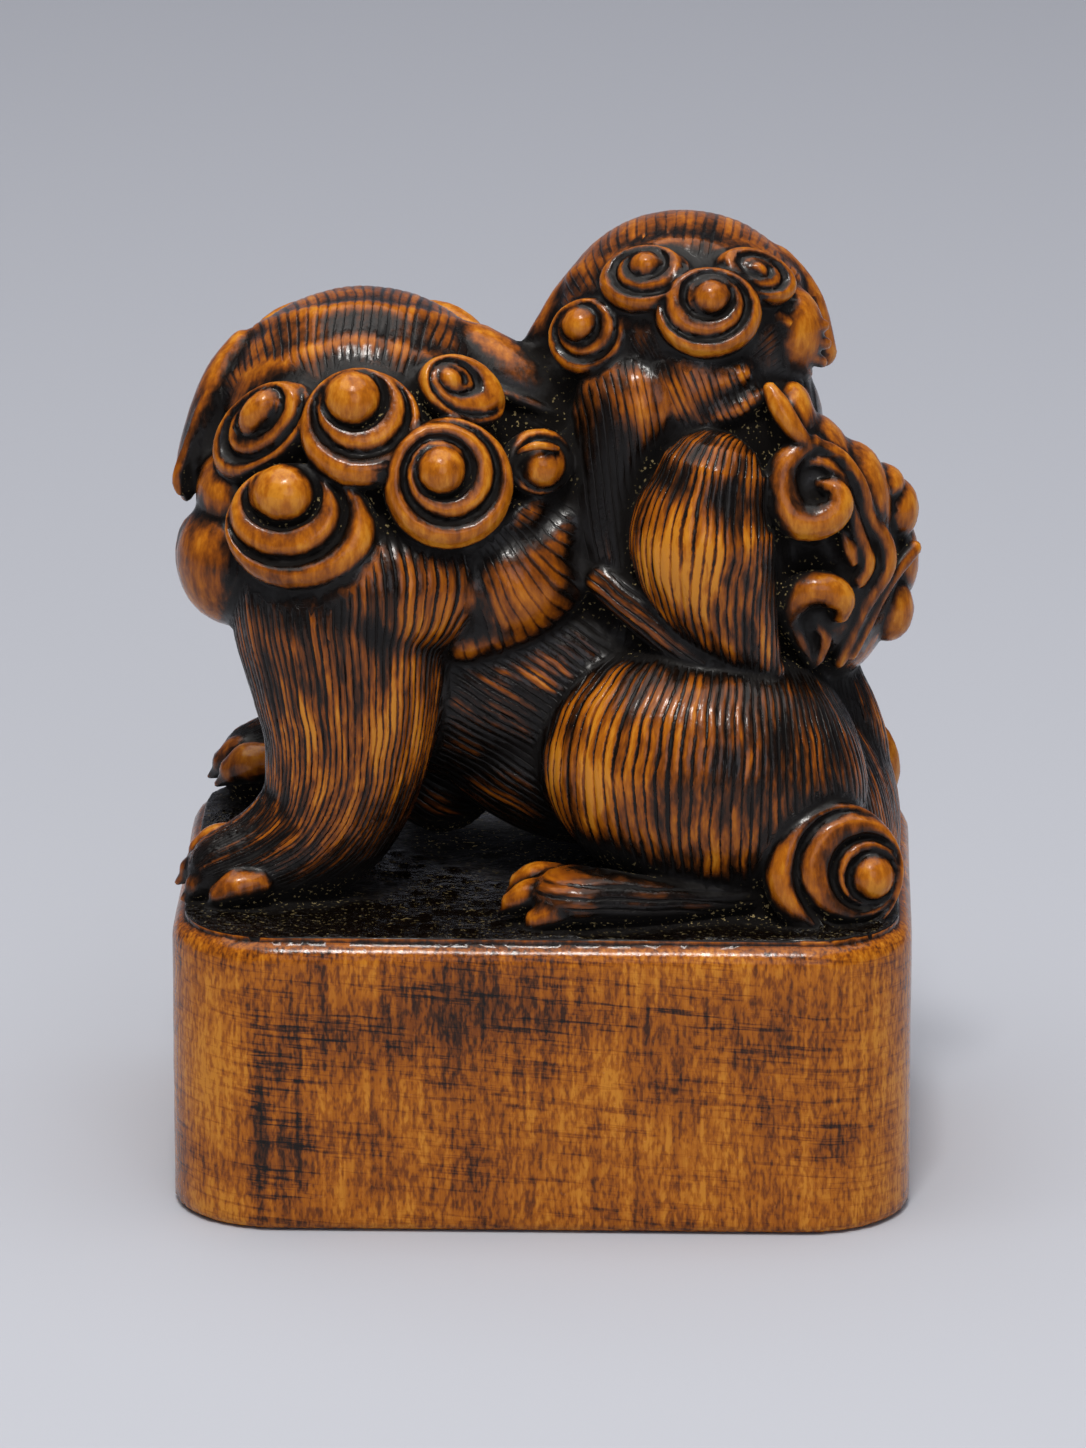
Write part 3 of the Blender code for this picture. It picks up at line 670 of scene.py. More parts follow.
def cub_head(figures):
    """The cub's head: parted crown, ears, four nape curls and the strands behind one ear."""
    figures.ball(CUB_HEAD, CUB_HEAD_RADII, comb="cub_crown")
    band = ((0.8, -0.1, 0.45), (0.5, -0.42, 0.7), (0.2, -0.5, 0.82), (0.06, -0.48, 0.88))
    bands(figures, CUB_HEAD, CUB_HEAD_RADII, (band,), 0.7, "cub_crown")
    figures.limb([(2.4, 1.6, 37.0, 1.2), (1.1, 1.2, 35.4, 1.25), (-0.3, 0.8, 34.1, 0.7)])
    figures.limb([(9.1, 1.8, 37.0, 1.1), (10.2, 2.0, 35.6, 1.2), (11.2, 2.0, 33.5, 0.7)])
    for lock in CUB_LOCKS:
        figures.lock(*lock)
    for tip in ((11.25, -0.6, 35.3), (11.35, -0.5, 34.5), (11.2, -0.4, 33.7), (10.6, -0.3, 33.2)):
        figures.limb(
            [(9.3, -1.6, 35.9, 0.5), (10.3, -1.3, 34.6 + (tip[2] - 34) * 0.6, 0.42), (*tip, 0.25)],
            crisp=True,
        )
    figures.ball((9.8, -0.4, 35.0), (1.5, 1.6, 1.9))
    face(figures, CUB_HEAD, CUB_SCALE)


def ground(figures):
    """The rough dark ground round the animals' feet, a skin just proud of the block's top."""
    skin = slab(width=29.0, depth=21.9, thick=1.1, middle=11.9, corner=3.8, segments=10)
    figures.keep(skin, True)


# Hair: each comb lays lines over its own mass
def fan(points, x, z, lines):
    """Lines that spread from one point of the crown, as seen along Y."""
    dx, dz = points[:, 0] - x, points[:, 2] - z
    return np.arctan2(dx, dz) * lines / (2 * math.pi), np.hypot(dx, dz)


def globe(points, x, y, lines, lean=0.0, inset=0.0):
    """Lines like the meridians of a globe about an upright axis that leans a little along X."""
    dx = points[:, 0] - x - lean * (points[:, 2] - 18)
    dy = np.abs(points[:, 1] - y) - inset
    return np.arctan2(dx, dy) * lines / (2 * math.pi), points[:, 2]


def slanted(points, across, pitch):
    """Straight lines, square to the direction across, seen along Y."""
    way = np.array(across, float) / np.linalg.norm(across)
    along = np.array((way[2], 0, -way[0]))
    return points @ way / pitch, points @ along


def round_limb(points, stations, flat, face_way, lines):
    """Lines along a limb, laid round it, with their seam turned away from face_way."""
    squeeze = np.diag([1 + (flat[1] - 1) * abs(c) for c in flat[0]])
    back = np.linalg.inv(squeeze)
    path = smooth_path([(*(back @ np.array(s[:3])), s[3]) for s in stations])
    local = points @ back.T
    segment, share, _ = along_path(local, path)
    ways = unit(np.gradient(path[:, :3], axis=0))
    way = unit(ways[segment] * (1 - share[:, None]) + ways[segment + 1] * share[:, None])
    foot = path[segment, :3] * (1 - share[:, None]) + path[segment + 1, :3] * share[:, None]
    away = local - foot
    face_way = np.array(face_way, float)
    front = unit(face_way - (way @ face_way)[:, None] * way)
    angle = np.arctan2(dots(away, np.cross(way, front)), dots(away, front))
    lengths = np.concatenate(([0], np.cumsum(np.linalg.norm(np.diff(path[:, :3], axis=0), axis=1))))
    run = lengths[segment] * (1 - share) + lengths[segment + 1] * share
    return angle * lines / (2 * math.pi), run


COMBS = {
    "foreleg": lambda p: round_limb(p, NEAR_LEG, LEG_FLAT, (0, -1, 0), 84),
    "far_foreleg": lambda p: round_limb(p, FAR_LEG, LEG_FLAT, (0, 1, 0), 84),
    "flank": lambda p: slanted(p, (0.53, 0, 0.85), 0.34),
    "rump": lambda p: globe(p, 8.5, 0.3, 150),
    "neck": lambda p: slanted(p, (0.4, 0, 0.9), 0.34),
    "rolls": lambda p: fan(p, -4.2, 31.0, 96),
    "crown": lambda p: fan(p, SHISHI_HEAD.x, SHISHI_HEAD.z - 2.5, 120),
    "cub_crown": lambda p: fan(p, CUB_HEAD.x, CUB_HEAD.z - 2.0, 105),
    "cub_trunk": lambda p: slanted(p, (1, 0, 0.15), 0.32),
    "cub_haunch": lambda p: globe(p, 8.6, 0.3, 104, 0.0, 2.6),
    "ribs": lambda p: slanted(p, (1, 0, 0.4), 0.28),
    "foot": lambda p: slanted(p, (0.1, 0, 1), 0.4),
    "cub_foot": lambda p: slanted(p, (0.55, 0, 0.85), 0.36),
    "bare": None,
}
COMB_NAMES = list(COMBS)

# The hair that wear has left shallow, as a share of the full depth
WORN_HAIR = {"crown": 0.5, "cub_crown": 0.4, "rolls": 0.45, "neck": 0.4, "ribs": 0.6, "cub_trunk": 0.6}


def comb(points, figures):
    """The hair at each point: which line, how far along it, and how strongly it is cut."""
    least = np.full(len(points), Figures.FAR)
    second = np.full(len(points), Figures.FAR)
    owner = np.full(len(points), COMB_NAMES.index("bare"))
    for name, low, high, distance in figures.masses:
        near = np.nonzero(np.all((points > low) & (points < high), axis=1))[0]
        if not len(near):
            continue
        column = COMB_NAMES.index(name)
        gap = distance(points[near])
        same = owner[near] == column
        closer = gap < least[near]
        second[near] = np.where(
            same, second[near], np.where(closer, least[near], np.minimum(second[near], gap))
        )
        taken = near[closer]
        least[taken] = gap[closer]
        owner[taken] = column
    line = np.zeros(len(points))
    run = np.zeros(len(points))
    for column, name in enumerate(COMB_NAMES):
        mine = owner == column
        if COMBS[name] is not None and mine.any():
            line[mine], run[mine] = COMBS[name](points[mine])
    # Hair fades out in the crease where two masses meet, and where they sink into the ground
    strength = smoothstep(0.02, 0.35, second - least) * (owner != COMB_NAMES.index("bare"))
    strength *= smoothstep(12.5, 13.1, points[:, 2])
    strength *= np.array([WORN_HAIR.get(name, 1.0) for name in COMB_NAMES])[owner]
    # No line runs quite straight: each strays by up to a line's width over some 4 mm
    line += 0.22 * swells(points, 1.1, 3) + 0.7 * swells(points, 4.2, 4)
    return line, run, strength


def cut_hair(mesh, figures, depth):
    """Sinks the hair lines and roughens the recesses of the fine mesh."""
    points, normals = vertices_of(mesh), normals_of(mesh)
    line, _, strength = comb(points, figures)
    groove = np.abs(2 * (line - np.floor(line)) - 1) ** 3
    stroke = 0.75 + 0.25 * swells(points, 0.9, 5)
    sink = depth * groove * strength * stroke
    # The skin wavers by hundredths of a millimetre, and the level ground by about a tenth
    rough = 0.012 * swells(points, 0.35, 6) + 0.02 * swells(points, 1.3, 7)
    level = smoothstep(12.75, 12.45, points[:, 2]) * smoothstep(0.7, 0.9, normals[:, 2])
    rough += level * (0.06 * swells(points, 0.5, 8) + 0.1 * swells(points, 2.2, 9))
    move_vertices(mesh, points + normals * (rough - sink)[:, None])


# The grain that the forms are fused at, in millimetres, and how often the skin is smoothed
SOFT_GRAIN = 0.16
CRISP_GRAIN = 0.08
QUICK_GRAIN = 0.16
BLOCK_GRAIN = 0.3
SOFT_PASSES = 14
CRISP_PASSES = 4
QUICK_PASSES = 2
QUICK_TRIANGLES = 60000
BLOCK_THINNING = 0.5


def seal_block(sizes):
    """The seal block: a rounded rectangle, worn along its edges, its faces not quite flat."""
    width, depth, height = sizes.width / MM, sizes.depth / MM, sizes.height / MM
    block = slab(width, depth, height, height / 2, sizes.corner / MM, segments=14)
    for level, offset, segments in ((height, sizes.top_round / MM, 5), (0, sizes.foot_round / MM, 3)):
        round_edges(block, lambda a, b: max(abs(a.z - level), abs(b.z - level)) < 1e-4, offset, segments)
    finish_modifier(block, "grain", "REMESH", mode="VOXEL", voxel_size=BLOCK_GRAIN)
    points, normals = vertices_of(block.data), normals_of(block.data)
    waver = 0.03 * swells(points, 4.0, 11) + 0.012 * swells(points, 1.1, 12)
    waver *= smoothstep(0.0, 0.6, points[:, 2])
    move_vertices(block.data, points + normals * (waver - 0.02)[:, None])
    finish_modifier(block, "thin", "DECIMATE", ratio=BLOCK_THINNING)
    return block


def carve(figures, sizes, quick):
    """Fuses the forms into one skin, cuts the hair, thins the mesh and sets it on the block."""
    soft, crisp = figures.gather()
    finish_modifier(soft, "grain", "REMESH", mode="VOXEL", voxel_size=SOFT_GRAIN)
    finish_modifier(soft, "soften", "SMOOTH", factor=0.5, iterations=SOFT_PASSES)
    only(crisp, soft)
    bpy.ops.object.join()
    figure = bpy.context.object
    grain, passes = (QUICK_GRAIN, QUICK_PASSES) if quick else (CRISP_GRAIN, CRISP_PASSES)
    finish_modifier(figure, "grain", "REMESH", mode="VOXEL", voxel_size=grain)
    finish_modifier(figure, "soften", "SMOOTH", factor=0.5, iterations=passes)
    cut_hair(figure.data, figures, sizes.hair_depth / MM)
    faces = sum(len(p.vertices) - 2 for p in figure.data.polygons)
    wanted = QUICK_TRIANGLES if quick else sizes.triangles
    finish_modifier(figure, "thin", "DECIMATE", ratio=min(1, wanted / faces))
    block = seal_block(sizes)
    finish_modifier(block, "in_one", "BOOLEAN", operation="UNION", solver="MANIFOLD", object=figure)
    bpy.data.objects.remove(figure)
    return block


# Wear and stain, worked out on the finished mesh. A sight line starts just off the skin, and what
# it meets within its reach closes the view the more, the nearer it is
SIGHT_REACH = 4.5
SIGHT_START = 0.03
SIGHT_LINES = 26
LEAST_FACING = 0.08
FAR_HIT = 0.6

# How often the skin is evened out for its near and its wide relief, and for the room round it
NEAR_PASSES = 6
WIDE_PASSES = 60
ROOM_PASSES = 2


def relaxed(values, edges, passes):
    """The values with each drawn towards its neighbours' mean."""
    count = np.bincount(edges.ravel(), minlength=len(values)).astype(float)
    count[count == 0] = 1
    for _ in range(passes):
        total = np.zeros_like(values)
        for column in range(values.shape[1]):
            total[:, column] = np.bincount(edges[:, 0], values[edges[:, 1], column], len(values))
            total[:, column] += np.bincount(edges[:, 1], values[edges[:, 0], column], len(values))
        values = 0.5 * values + 0.5 * total / count[:, None]
    return values


def sight_lines(count):
    """Directions spread evenly over a ball."""
    steps = np.arange(count) + 0.5
    height = 1 - 2 * steps / count
    turn = steps * math.pi * (1 + math.sqrt(5))
    flat = np.sqrt(1 - height**2)
    return np.stack((flat * np.cos(turn), flat * np.sin(turn), height), 1)


def openness(mesh, points, normals):
    """How much of the room round each point is clear, from 0 in a deep recess to 1 in the open."""
    tree = BVHTree.FromPolygons([v.co for v in mesh.vertices], [p.vertices for p in mesh.polygons])
    lines = sight_lines(SIGHT_LINES)
    vectors = [Vector(line) for line in lines]
    clear = np.zeros(len(points))
    total = np.zeros(len(points))
    facing = normals @ lines.T
    starts = points + normals * SIGHT_START
    for column, vector in enumerate(vectors):
        weight = facing[:, column]
        rows = np.nonzero(weight > LEAST_FACING)[0]
        seen = np.ones(len(rows))
        cast = tree.ray_cast
        for number, row in enumerate(rows):
            hit = cast(starts[row], vector, SIGHT_REACH)[3]
            if hit is not None:
                seen[number] = hit / SIGHT_REACH * FAR_HIT
        clear[rows] += seen * weight[rows]
        total[rows] += weight[rows]
    return clear / np.maximum(total, 1e-6)


# Places that the hand has rubbed to amber, places that stayed dark, and one paler patch on the cub's ribs
# that is partly painted sheen: centre, reach, how much
RUBBED_DARK_AND_SHEEN = (
    ((-8.6, -8.0, 19.8), (4.2, 6.0, 3.4), 0.42),
    ((-5.2, -7.0, 21.5), (1.6, 5.0, 4.0), 0.34),
    ((-8.0, -8.5, 25.4), (5.5, 5.0, 1.7), -0.3),
    ((-11.5, -6.0, 26.0), (3.0, 3.0, 2.0), -0.3),
    ((1.4, -9.0, 18.4), (2.7, 4.5, 4.4), 0.28),
    ((7.0, -9.0, 16.6), (2.6, 4.5, 3.6), -0.08),
    ((11.0, -7.0, 18.6), (3.6, 7.0, 4.0), -0.34),
    ((5.0, -8.5, 27.0), (2.2, 4.0, 3.8), 0.42),
    ((8.6, -7.5, 26.5), (1.4, 3.5, 4.0), -0.2),
    ((8.2, -7.6, 24.6), (2.4, 3.0, 2.6), 0.1),
    ((-1.0, -6.0, 19.0), (3.0, 4.0, 4.4), -0.3),
    ((-1.4, -7.5, 22.6), (2.3, 3.4, 1.8), 0.22),
    ((-1.0, -7.0, 26.6), (3.2, 3.8, 2.6), 0.02),
    # The cub's ribs: partly rubbed wood, partly painted sheen
    ((5.4, -5.0, 33.4), (4.6, 3.8, 2.2), 0.16),
    ((5.4, -4.0, 38.6), (6.0, 6.0, 3.0), -0.24),
    ((2.6, -5.0, 30.0), (2.2, 3.6, 4.6), -0.6),
    ((-7.5, -4.0, 35.2), (6.5, 4.0, 2.6), 0.02),
    ((-13.6, -6.2, 13.2), (3.0, 3.6, 1.8), -0.42),
    ((-13.3, 8.0, 13.6), (3.4, 4.2, 2.6), -0.5),
    ((12.0, -5.0, 27.5), (3.2, 3.4, 5.0), -0.12),
    ((-11.3, -12.0, 5.0), (0.55, 3.0, 4.6), -0.5),
    ((-9.9, -12.0, 4.0), (0.9, 3.0, 4.4), -0.3),
    ((11.8, -12.0, 3.9), (1.5, 3.0, 1.2), -0.24),
    ((4.0, -12.0, 9.3), (9.0, 3.0, 1.6), -0.2),
    ((-6.0, -12.0, 8.9), (5.4, 3.0, 2.4), -0.26),
    ((-9.0, -8.0, 16.4), (3.4, 4.0, 3.0), 0.26),
    ((-14.4, -1.5, 29.6), (1.7, 4.0, 5.0), -0.26),
    ((-13.8, -4.4, 26.0), (2.4, 3.0, 2.2), -0.2),
    ((1.6, -9.4, 13.4), (5.6, 2.6, 1.5), -0.4),
    ((-13.8, -10.0, 7.0), (2.0, 4.0, 6.0), 0.22),
    ((14.0, -9.0, 7.5), (2.2, 4.0, 5.0), 0.08),
    ((3.0, 12.0, 6.0), (7.0, 3.0, 2.4), -0.2),
    ((-9.0, 12.0, 4.0), (1.4, 3.0, 4.0), -0.24),
)
BLOCK_TOP = 12.23


def mark(mesh, **marks):
    """Keeps a number for each point under each name, for the material to read."""
    for name, values in marks.items():
        layer = mesh.attributes.new(name, "FLOAT", "POINT")
        layer.data.foreach_set("value", values.astype(np.float32))


def weather(mesh):
    """Works out how rubbed, how open and how stained each point is, and where a little sheen is painted."""
    points, normals, edges = vertices_of(mesh), normals_of(mesh), edges_of(mesh)
    near, wide = (
        dots(points - relaxed(points, edges, passes), normals)
        for passes in (NEAR_PASSES, WIDE_PASSES)
    )
    clear = relaxed(openness(mesh, points, normals)[:, None], edges, ROOM_PASSES)[:, 0]
    block = smoothstep(BLOCK_TOP + 0.05, BLOCK_TOP - 0.25, points[:, 2])
    zone = np.zeros(len(points))
    for centre, reach, amount in RUBBED_DARK_AND_SHEEN:
        away = np.linalg.norm((points - np.array(centre)) / np.array(reach), axis=1)
        zone += amount * np.exp(-(away**2) * 1.6)
    # The level ground is far darker than any wood, which is how the material tells it apart
    earth = smoothstep(13.1, 12.8, points[:, 2]) * smoothstep(12.3, 12.36, points[:, 2])
    zone -= 1.9 * earth * smoothstep(0.3, 0.7, normals[:, 2])
    # The hand rubs the ridges most, broad swellings less, and nothing that is sheltered
    rub = np.clip(0.5 + near * 5.0 + wide * 1.1, 0, 1) * smoothstep(0.35, 0.9, clear)
    mark(mesh, rub=rub, clear=clear, zone=zone, block=block, near=near)


def linear(code):
    """A hex colour as the renderer counts it."""
    shades = [int(code[i : i + 2], 16) / 255 for i in (1, 3, 5)]
    return (*[s / 12.92 if s <= 0.04045 else ((s + 0.055) / 1.055) ** 2.4 for s in shades], 1.0)


# Kinds of node, some with the setting that makes them what they are
MATH = "ShaderNodeMath"
PLUS = (MATH, {"operation": "ADD"})
MINUS = (MATH, {"operation": "SUBTRACT"})
TIMES = (MATH, {"operation": "MULTIPLY"})
TIMES_PLUS = (MATH, {"operation": "MULTIPLY_ADD"})
LARGER = (MATH, {"operation": "MAXIMUM"})
WHOLE = (MATH, {"operation": "ROUND"})
SIZE = (MATH, {"operation": "ABSOLUTE"})
STRETCHED = ("ShaderNodeVectorMath", {"operation": "MULTIPLY"})
JOINED = "ShaderNodeCombineXYZ"
SPLIT = "ShaderNodeSeparateXYZ"
RANGE = "ShaderNodeMapRange"
EASED = (RANGE, {"interpolation_type": "SMOOTHSTEP"})
NOISE = "ShaderNodeTexNoise"
MIX = ("ShaderNodeMix", {"data_type": "FLOAT"})
BLEND = ("ShaderNodeMix", {"data_type": "RGBA"})


def add(tree, kind, *links, output=0, **settings):
    """Adds a node with its settings, joins its inputs, and gives back one of its outputs.

    links are its inputs in order, each a socket, a value or None, or one dictionary of them by name.
    """
    kind, own = kind if isinstance(kind, tuple) else (kind, {})
    made = tree.nodes.new(kind)
    for setting, value in {**own, **settings}.items():
        setattr(made, setting, value)
    named = links[0] if links and isinstance(links[0], dict) else dict(enumerate(links))
    for slot, source in named.items():
        if isinstance(source, bpy.types.NodeSocket):
            tree.links.new(source, made.inputs[slot])
        elif source is not None:
            made.inputs[slot].default_value = source
    return made.outputs[output] if made.outputs else made


MARKS = ("line", "run", "cut", "rub", "clear", "zone", "block", "near")


def blank_material(name):
    """A material with no nodes yet, and the function that adds them to it."""
    made = bpy.data.materials.new(name)
    made.use_nodes = True
    made.node_tree.nodes.clear()
    return made, partial(add, made.node_tree)


def boxwood(colours):
    """The wood of the whole netsuke. A noise's scale is one over the size of its swells in mm."""
    # Boxwood, carved, dyed dark, then rubbed by the hand and waxed: near black in the cuts and
    # hollows, amber on all that stands out, with a soft wax gloss. Real grain, pores, scratches and
    # dust are well under 0.1 mm, too fine to show, and are drawn several times coarser
    made, put = blank_material("stained_boxwood")
    line, run, cut, rub, clear, zone, block, near = [
        put("ShaderNodeAttribute", attribute_name=name, output="Fac") for name in MARKS
    ]
    mm = put(STRETCHED, put("ShaderNodeTexCoord", output="Object"), (1 / MM,) * 3)
    x, y, z = put(SPLIT, mm).node.outputs

    # Hair: a dark cut at each whole number, its edges ragged every 0.2 mm and its depth broken
    # about every 2 mm along its run
    fine = put(NOISE, {"Vector": mm, "Scale": 5.0, "Detail": 3.0})
    number = put(WHOLE, line)
    each = put("ShaderNodeTexWhiteNoise", {"W": number}, noise_dimensions="1D")
    width = put(PLUS, put(TIMES_PLUS, each, 0.13, 0.06), put(TIMES_PLUS, fine, 0.28, -0.14))
    groove = put(MINUS, width, put(SIZE, put(MINUS, line, number)))
    groove = put(EASED, groove, -0.05, 0.07, 0.0, 1.0)
    stroke_at = put(JOINED, put(TIMES, number, 3.7), put(TIMES, run, 0.45))
    stroke = put(NOISE, {"Vector": stroke_at, "Scale": 1.0, "Detail": 1.0})
    stroke = put(EASED, stroke, 0.3, 0.45, 0.25, 1.0)
    groove = put(TIMES, put(TIMES, groove, cut), stroke)

    # Streaks two or three hair lines wide and 4 mm long, upright grain 0.33 mm wide and 1.1 mm long
    # where there is no hair, and patches about 3 mm across
    lane = put(JOINED, put(TIMES, line, 0.42), put(TIMES, run, 0.24))
    streak = put(NOISE, {"Vector": lane, "Scale": 1.0, "Detail": 4.0, "Roughness": 0.65})
    grain_at = put(STRETCHED, mm, (3.0, 3.0, 0.9))
    grain = put(NOISE, {"Vector": grain_at, "Scale": 1.0, "Detail": 4.0, "Roughness": 0.6})
    grain = put(TIMES, put(MINUS, grain, 0.5), 0.9)
    streak = put(TIMES, put(MINUS, streak, 0.5), 2.7)
    patch = put(NOISE, {"Vector": mm, "Scale": 0.3, "Detail": 3.0, "Roughness": 0.55})

    # How pale the figures are: rubbed where they stand out, dark where they are sheltered or cut, and paler
    # on the cub's ribs partly by painted sheen
    tone = put(PLUS, put(TIMES_PLUS, rub, 0.58, zone), -0.075)
    tone = put(PLUS, tone, put(MIX, {0: cut, 2: grain, 3: streak}))
    tone = put(TIMES_PLUS, put(MINUS, patch, 0.5), 0.6, tone)
    tone = put(PLUS, tone, put(EASED, clear, 0.3, 0.9, -0.6, -0.02))
    tone = put(TIMES_PLUS, near, put(RANGE, cut, 0.0, 1.0, 4.4, 2.6), tone)
    tone = put(TIMES_PLUS, groove, -0.4, tone)

    # The block: amber, with smoke about 5 mm across, upright pores 0.14 mm wide and 0.4 mm long,
    # level scratches 0.2 mm wide and 3 mm long, deeper where it is dark, and streaks 5.5 mm high
    pores = put(NOISE, {"Vector": put(STRETCHED, mm, (7.0, 7.0, 2.4)), "Scale": 1.0, "Detail": 2.0})
    scratch_at = put(STRETCHED, put(JOINED, x, y, put(TIMES_PLUS, x, 0.08, z)), (0.3, 0.3, 4.6))
    scratch = put(NOISE, {"Vector": scratch_at, "Scale": 1.0, "Detail": 5.0, "Roughness": 0.65})
    scratch = put(EASED, scratch, 0.32, 0.5, -0.2, 0.0)
    smoke = put(NOISE, {"Vector": mm, "Scale": 0.2, "Detail": 6.0, "Roughness": 0.62, "Distortion": 0.4})
    streaks_at = put(STRETCHED, mm, (3.0, 3.0, 0.18))
    streaks = put(NOISE, {"Vector": streaks_at, "Scale": 1.0, "Detail": 5.0, "Roughness": 0.6})
    side = put(EASED, pores, 0.3, 0.62, -0.18, 0.1)
    side = put(TIMES_PLUS, scratch, put(RANGE, zone, -0.3, 0.0, 2.6, 1.0), side)
    for shade, much in ((smoke, 1.0), (streaks, 0.9)):
        side = put(TIMES_PLUS, put(MINUS, shade, 0.5), much, side)
    side = put(PLUS, side, put(PLUS, zone, 0.75))
    tone = put(MIX, {0: block, 2: tone, 3: side})

    ramp = put("ShaderNodeValToRGB", tone)
    stops = ramp.node.color_ramp.elements
    shades = (
        (0.0, colours.recess), (0.18, colours.stain), (0.38, colours.red_brown), (0.58, colours.brown),
        (0.8, colours.amber), (1.0, colours.honey),
    )
    while len(stops) < len(shades):
        stops.new(0.5)
    for stop, (at, shade) in zip(stops, shades):
        stop.position = at
        stop.color = (*shade, 1.0)

    # Dust in specks of 0.17 mm, caught in the crevices, and a little of it on the ground
    earth = put(RANGE, zone, -1.4, -1.8, 0.0, 1.0)
    hidden = put(LARGER, put(EASED, clear, 0.6, 0.35, 0.0, 1.0), put(TIMES, earth, 0.22))
    speck = put(NOISE, {"Vector": mm, "Scale": 6.0, "Detail": 2.0})
    speck = put(TIMES, put(EASED, speck, 0.63, 0.67, 0.0, 0.8), hidden)
    colour = put(BLEND, {0: speck, 6: ramp, 7: (*colours.dust, 1.0)}, output=2)

    # Wax gloss on open wood, dull stain in the hollows, and a ground of clods 0.5 mm across
    rough = put(EASED, clear, 0.4, 0.8, 0.8, 0.2)
    rough = put(PLUS, rough, put(RANGE, tone, -0.6, 0.1, 0.45, 0.0))
    rough = put(TIMES_PLUS, put(MINUS, fine, 0.5), 0.35, rough)
    rough = put(TIMES_PLUS, earth, -0.45, rough)
    clods = put(NOISE, {"Vector": mm, "Scale": 1.9, "Detail": 4.0, "Roughness": 0.6})
    relief = put(MINUS, put(TIMES, fine, 0.35), groove)
    relief = put(TIMES_PLUS, put(TIMES, clods, earth), 8.0, relief)
    bump = put("ShaderNodeBump", {"Strength": 0.6, "Distance": 0.06 * MM, "Height": relief})
    wood = put(
        "ShaderNodeBsdfPrincipled",
        {"Base Color": colour, "Roughness": rough, "Normal": bump, "Specular IOR Level": 0.28, "IOR": 1.5},
    )
    put("ShaderNodeOutputMaterial", wood)
    return made


def shade_property(name, about, code):
    return FloatVectorProperty(
        name=name, description=about, subtype="COLOR", size=3, min=0, max=1, default=linear(code)[:3]
    )


class NETSUKE_PG_colours(PropertyGroup):
    """Colours of the wood, from the deepest recess to the most rubbed."""

    recess: shade_property("Recess", "Stain in the deepest cuts", "#080402")
    stain: shade_property("Stain", "Stain on sheltered wood", "#1B0F08")
    red_brown: shade_property("Red brown", "Thin stain", "#47250D")
    brown: shade_property("Brown", "Half rubbed wood", "#81420E")
    amber: shade_property("Amber", "Rubbed wood", "#B0630F")
    honey: shade_property("Honey", "The most rubbed ridges", "#CE8423")
    dust: shade_property("Dust", "Dust in the crevices", "#C9B27A")


def length_property(name, about, size, least):
    """A length, whose default and least are given in millimetres."""
    return FloatProperty(name=name, description=about, default=size * MM, min=least * MM, unit="LENGTH")


class NETSUKE_PG_sizes(PropertyGroup):
    """Sizes of the block and of the cutting."""

    width: length_property("Block width", "Across the front of the block", 30.1, 20)
    depth: length_property("Block depth", "From front to back", 23.0, 10)
    height: length_property("Block height", "From foot to top", 12.3, 5)
    corner: length_property("Corner radius", "Upright corners", 4.3, 1)
    top_round: length_property("Top edge", "Rounding of the top edge", 0.9, 0.1)
    foot_round: length_property("Foot edge", "Rounding of the foot edge", 0.3, 0.1)
    hair_depth: length_property("Hair depth", "Depth of the cut hair lines", 0.08, 0)
    triangles: IntProperty(
        name="Triangles", description="Triangles of the animals and the ground", default=172000, min=20000
    )


class NETSUKE_OT_carving(Operator):
    """Carves the two animals and the seal block in one piece of wood"""

    bl_idname = "netsuke.carving"
    bl_label = "Carve the netsuke"

    def execute(self, context):
        sizes = context.scene.netsuke_sizes
        figures = Figures()
        shishi_body(figures)
        shishi_head(figures)
        cub_body(figures)
        cub_head(figures)
        flame_tail(figures)
        ground(figures)
        piece = carve(figures, sizes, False)
        piece.name = PIECE
        piece.data.name = PIECE
        line, run, cut = comb(vertices_of(piece.data), figures)
        mark(piece.data, line=line, run=run, cut=cut)
        weather(piece.data)
        piece.data.materials.clear()
        piece.data.materials.append(boxwood(context.scene.netsuke_colours))
        piece.data.transform(Matrix.Scale(MM, 4))
        only(piece)
        bpy.ops.object.shade_smooth_by_angle(angle=SMOOTH_ANGLE)
        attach(piece, "root")
        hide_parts(NODE)
        return {"FINISHED"}


# The camera stands where the photograph was taken from
AIM = Vector((-0.14, 0, 18.12)) * MM
DISTANCE = 0.4
ELEVATION = math.radians(17)
AZIMUTH = math.radians(1.5)
LENS = 241.7


# A broad soft light hangs overhead, a small key a little in front of it, and a weak one fills from
# the front and right: name, place, size, power and tint
STUDIO_LIGHTS = (
    ("overhead", (-0.01, -0.02, 0.46), 0.6, 2.2, "#FFFDFA"),
    ("key", (-0.02, -0.26, 0.48), 0.075, 1.2, "#FFFCF7"),
    ("front_fill", (0.15, -0.7, 0.30), 0.4, 0.8, "#F4F5FF"),
)
WORLD_STRENGTH = 0.22
WORLD_TINT = "#C9CCD8"
# The paper's own pale colour at the front, and the darker colour of painted shade that it turns to behind
PAPER_NEAR = "#C0C3CB"
PAPER_FAR_PAINTED_SHADE = "#9A9DA8"


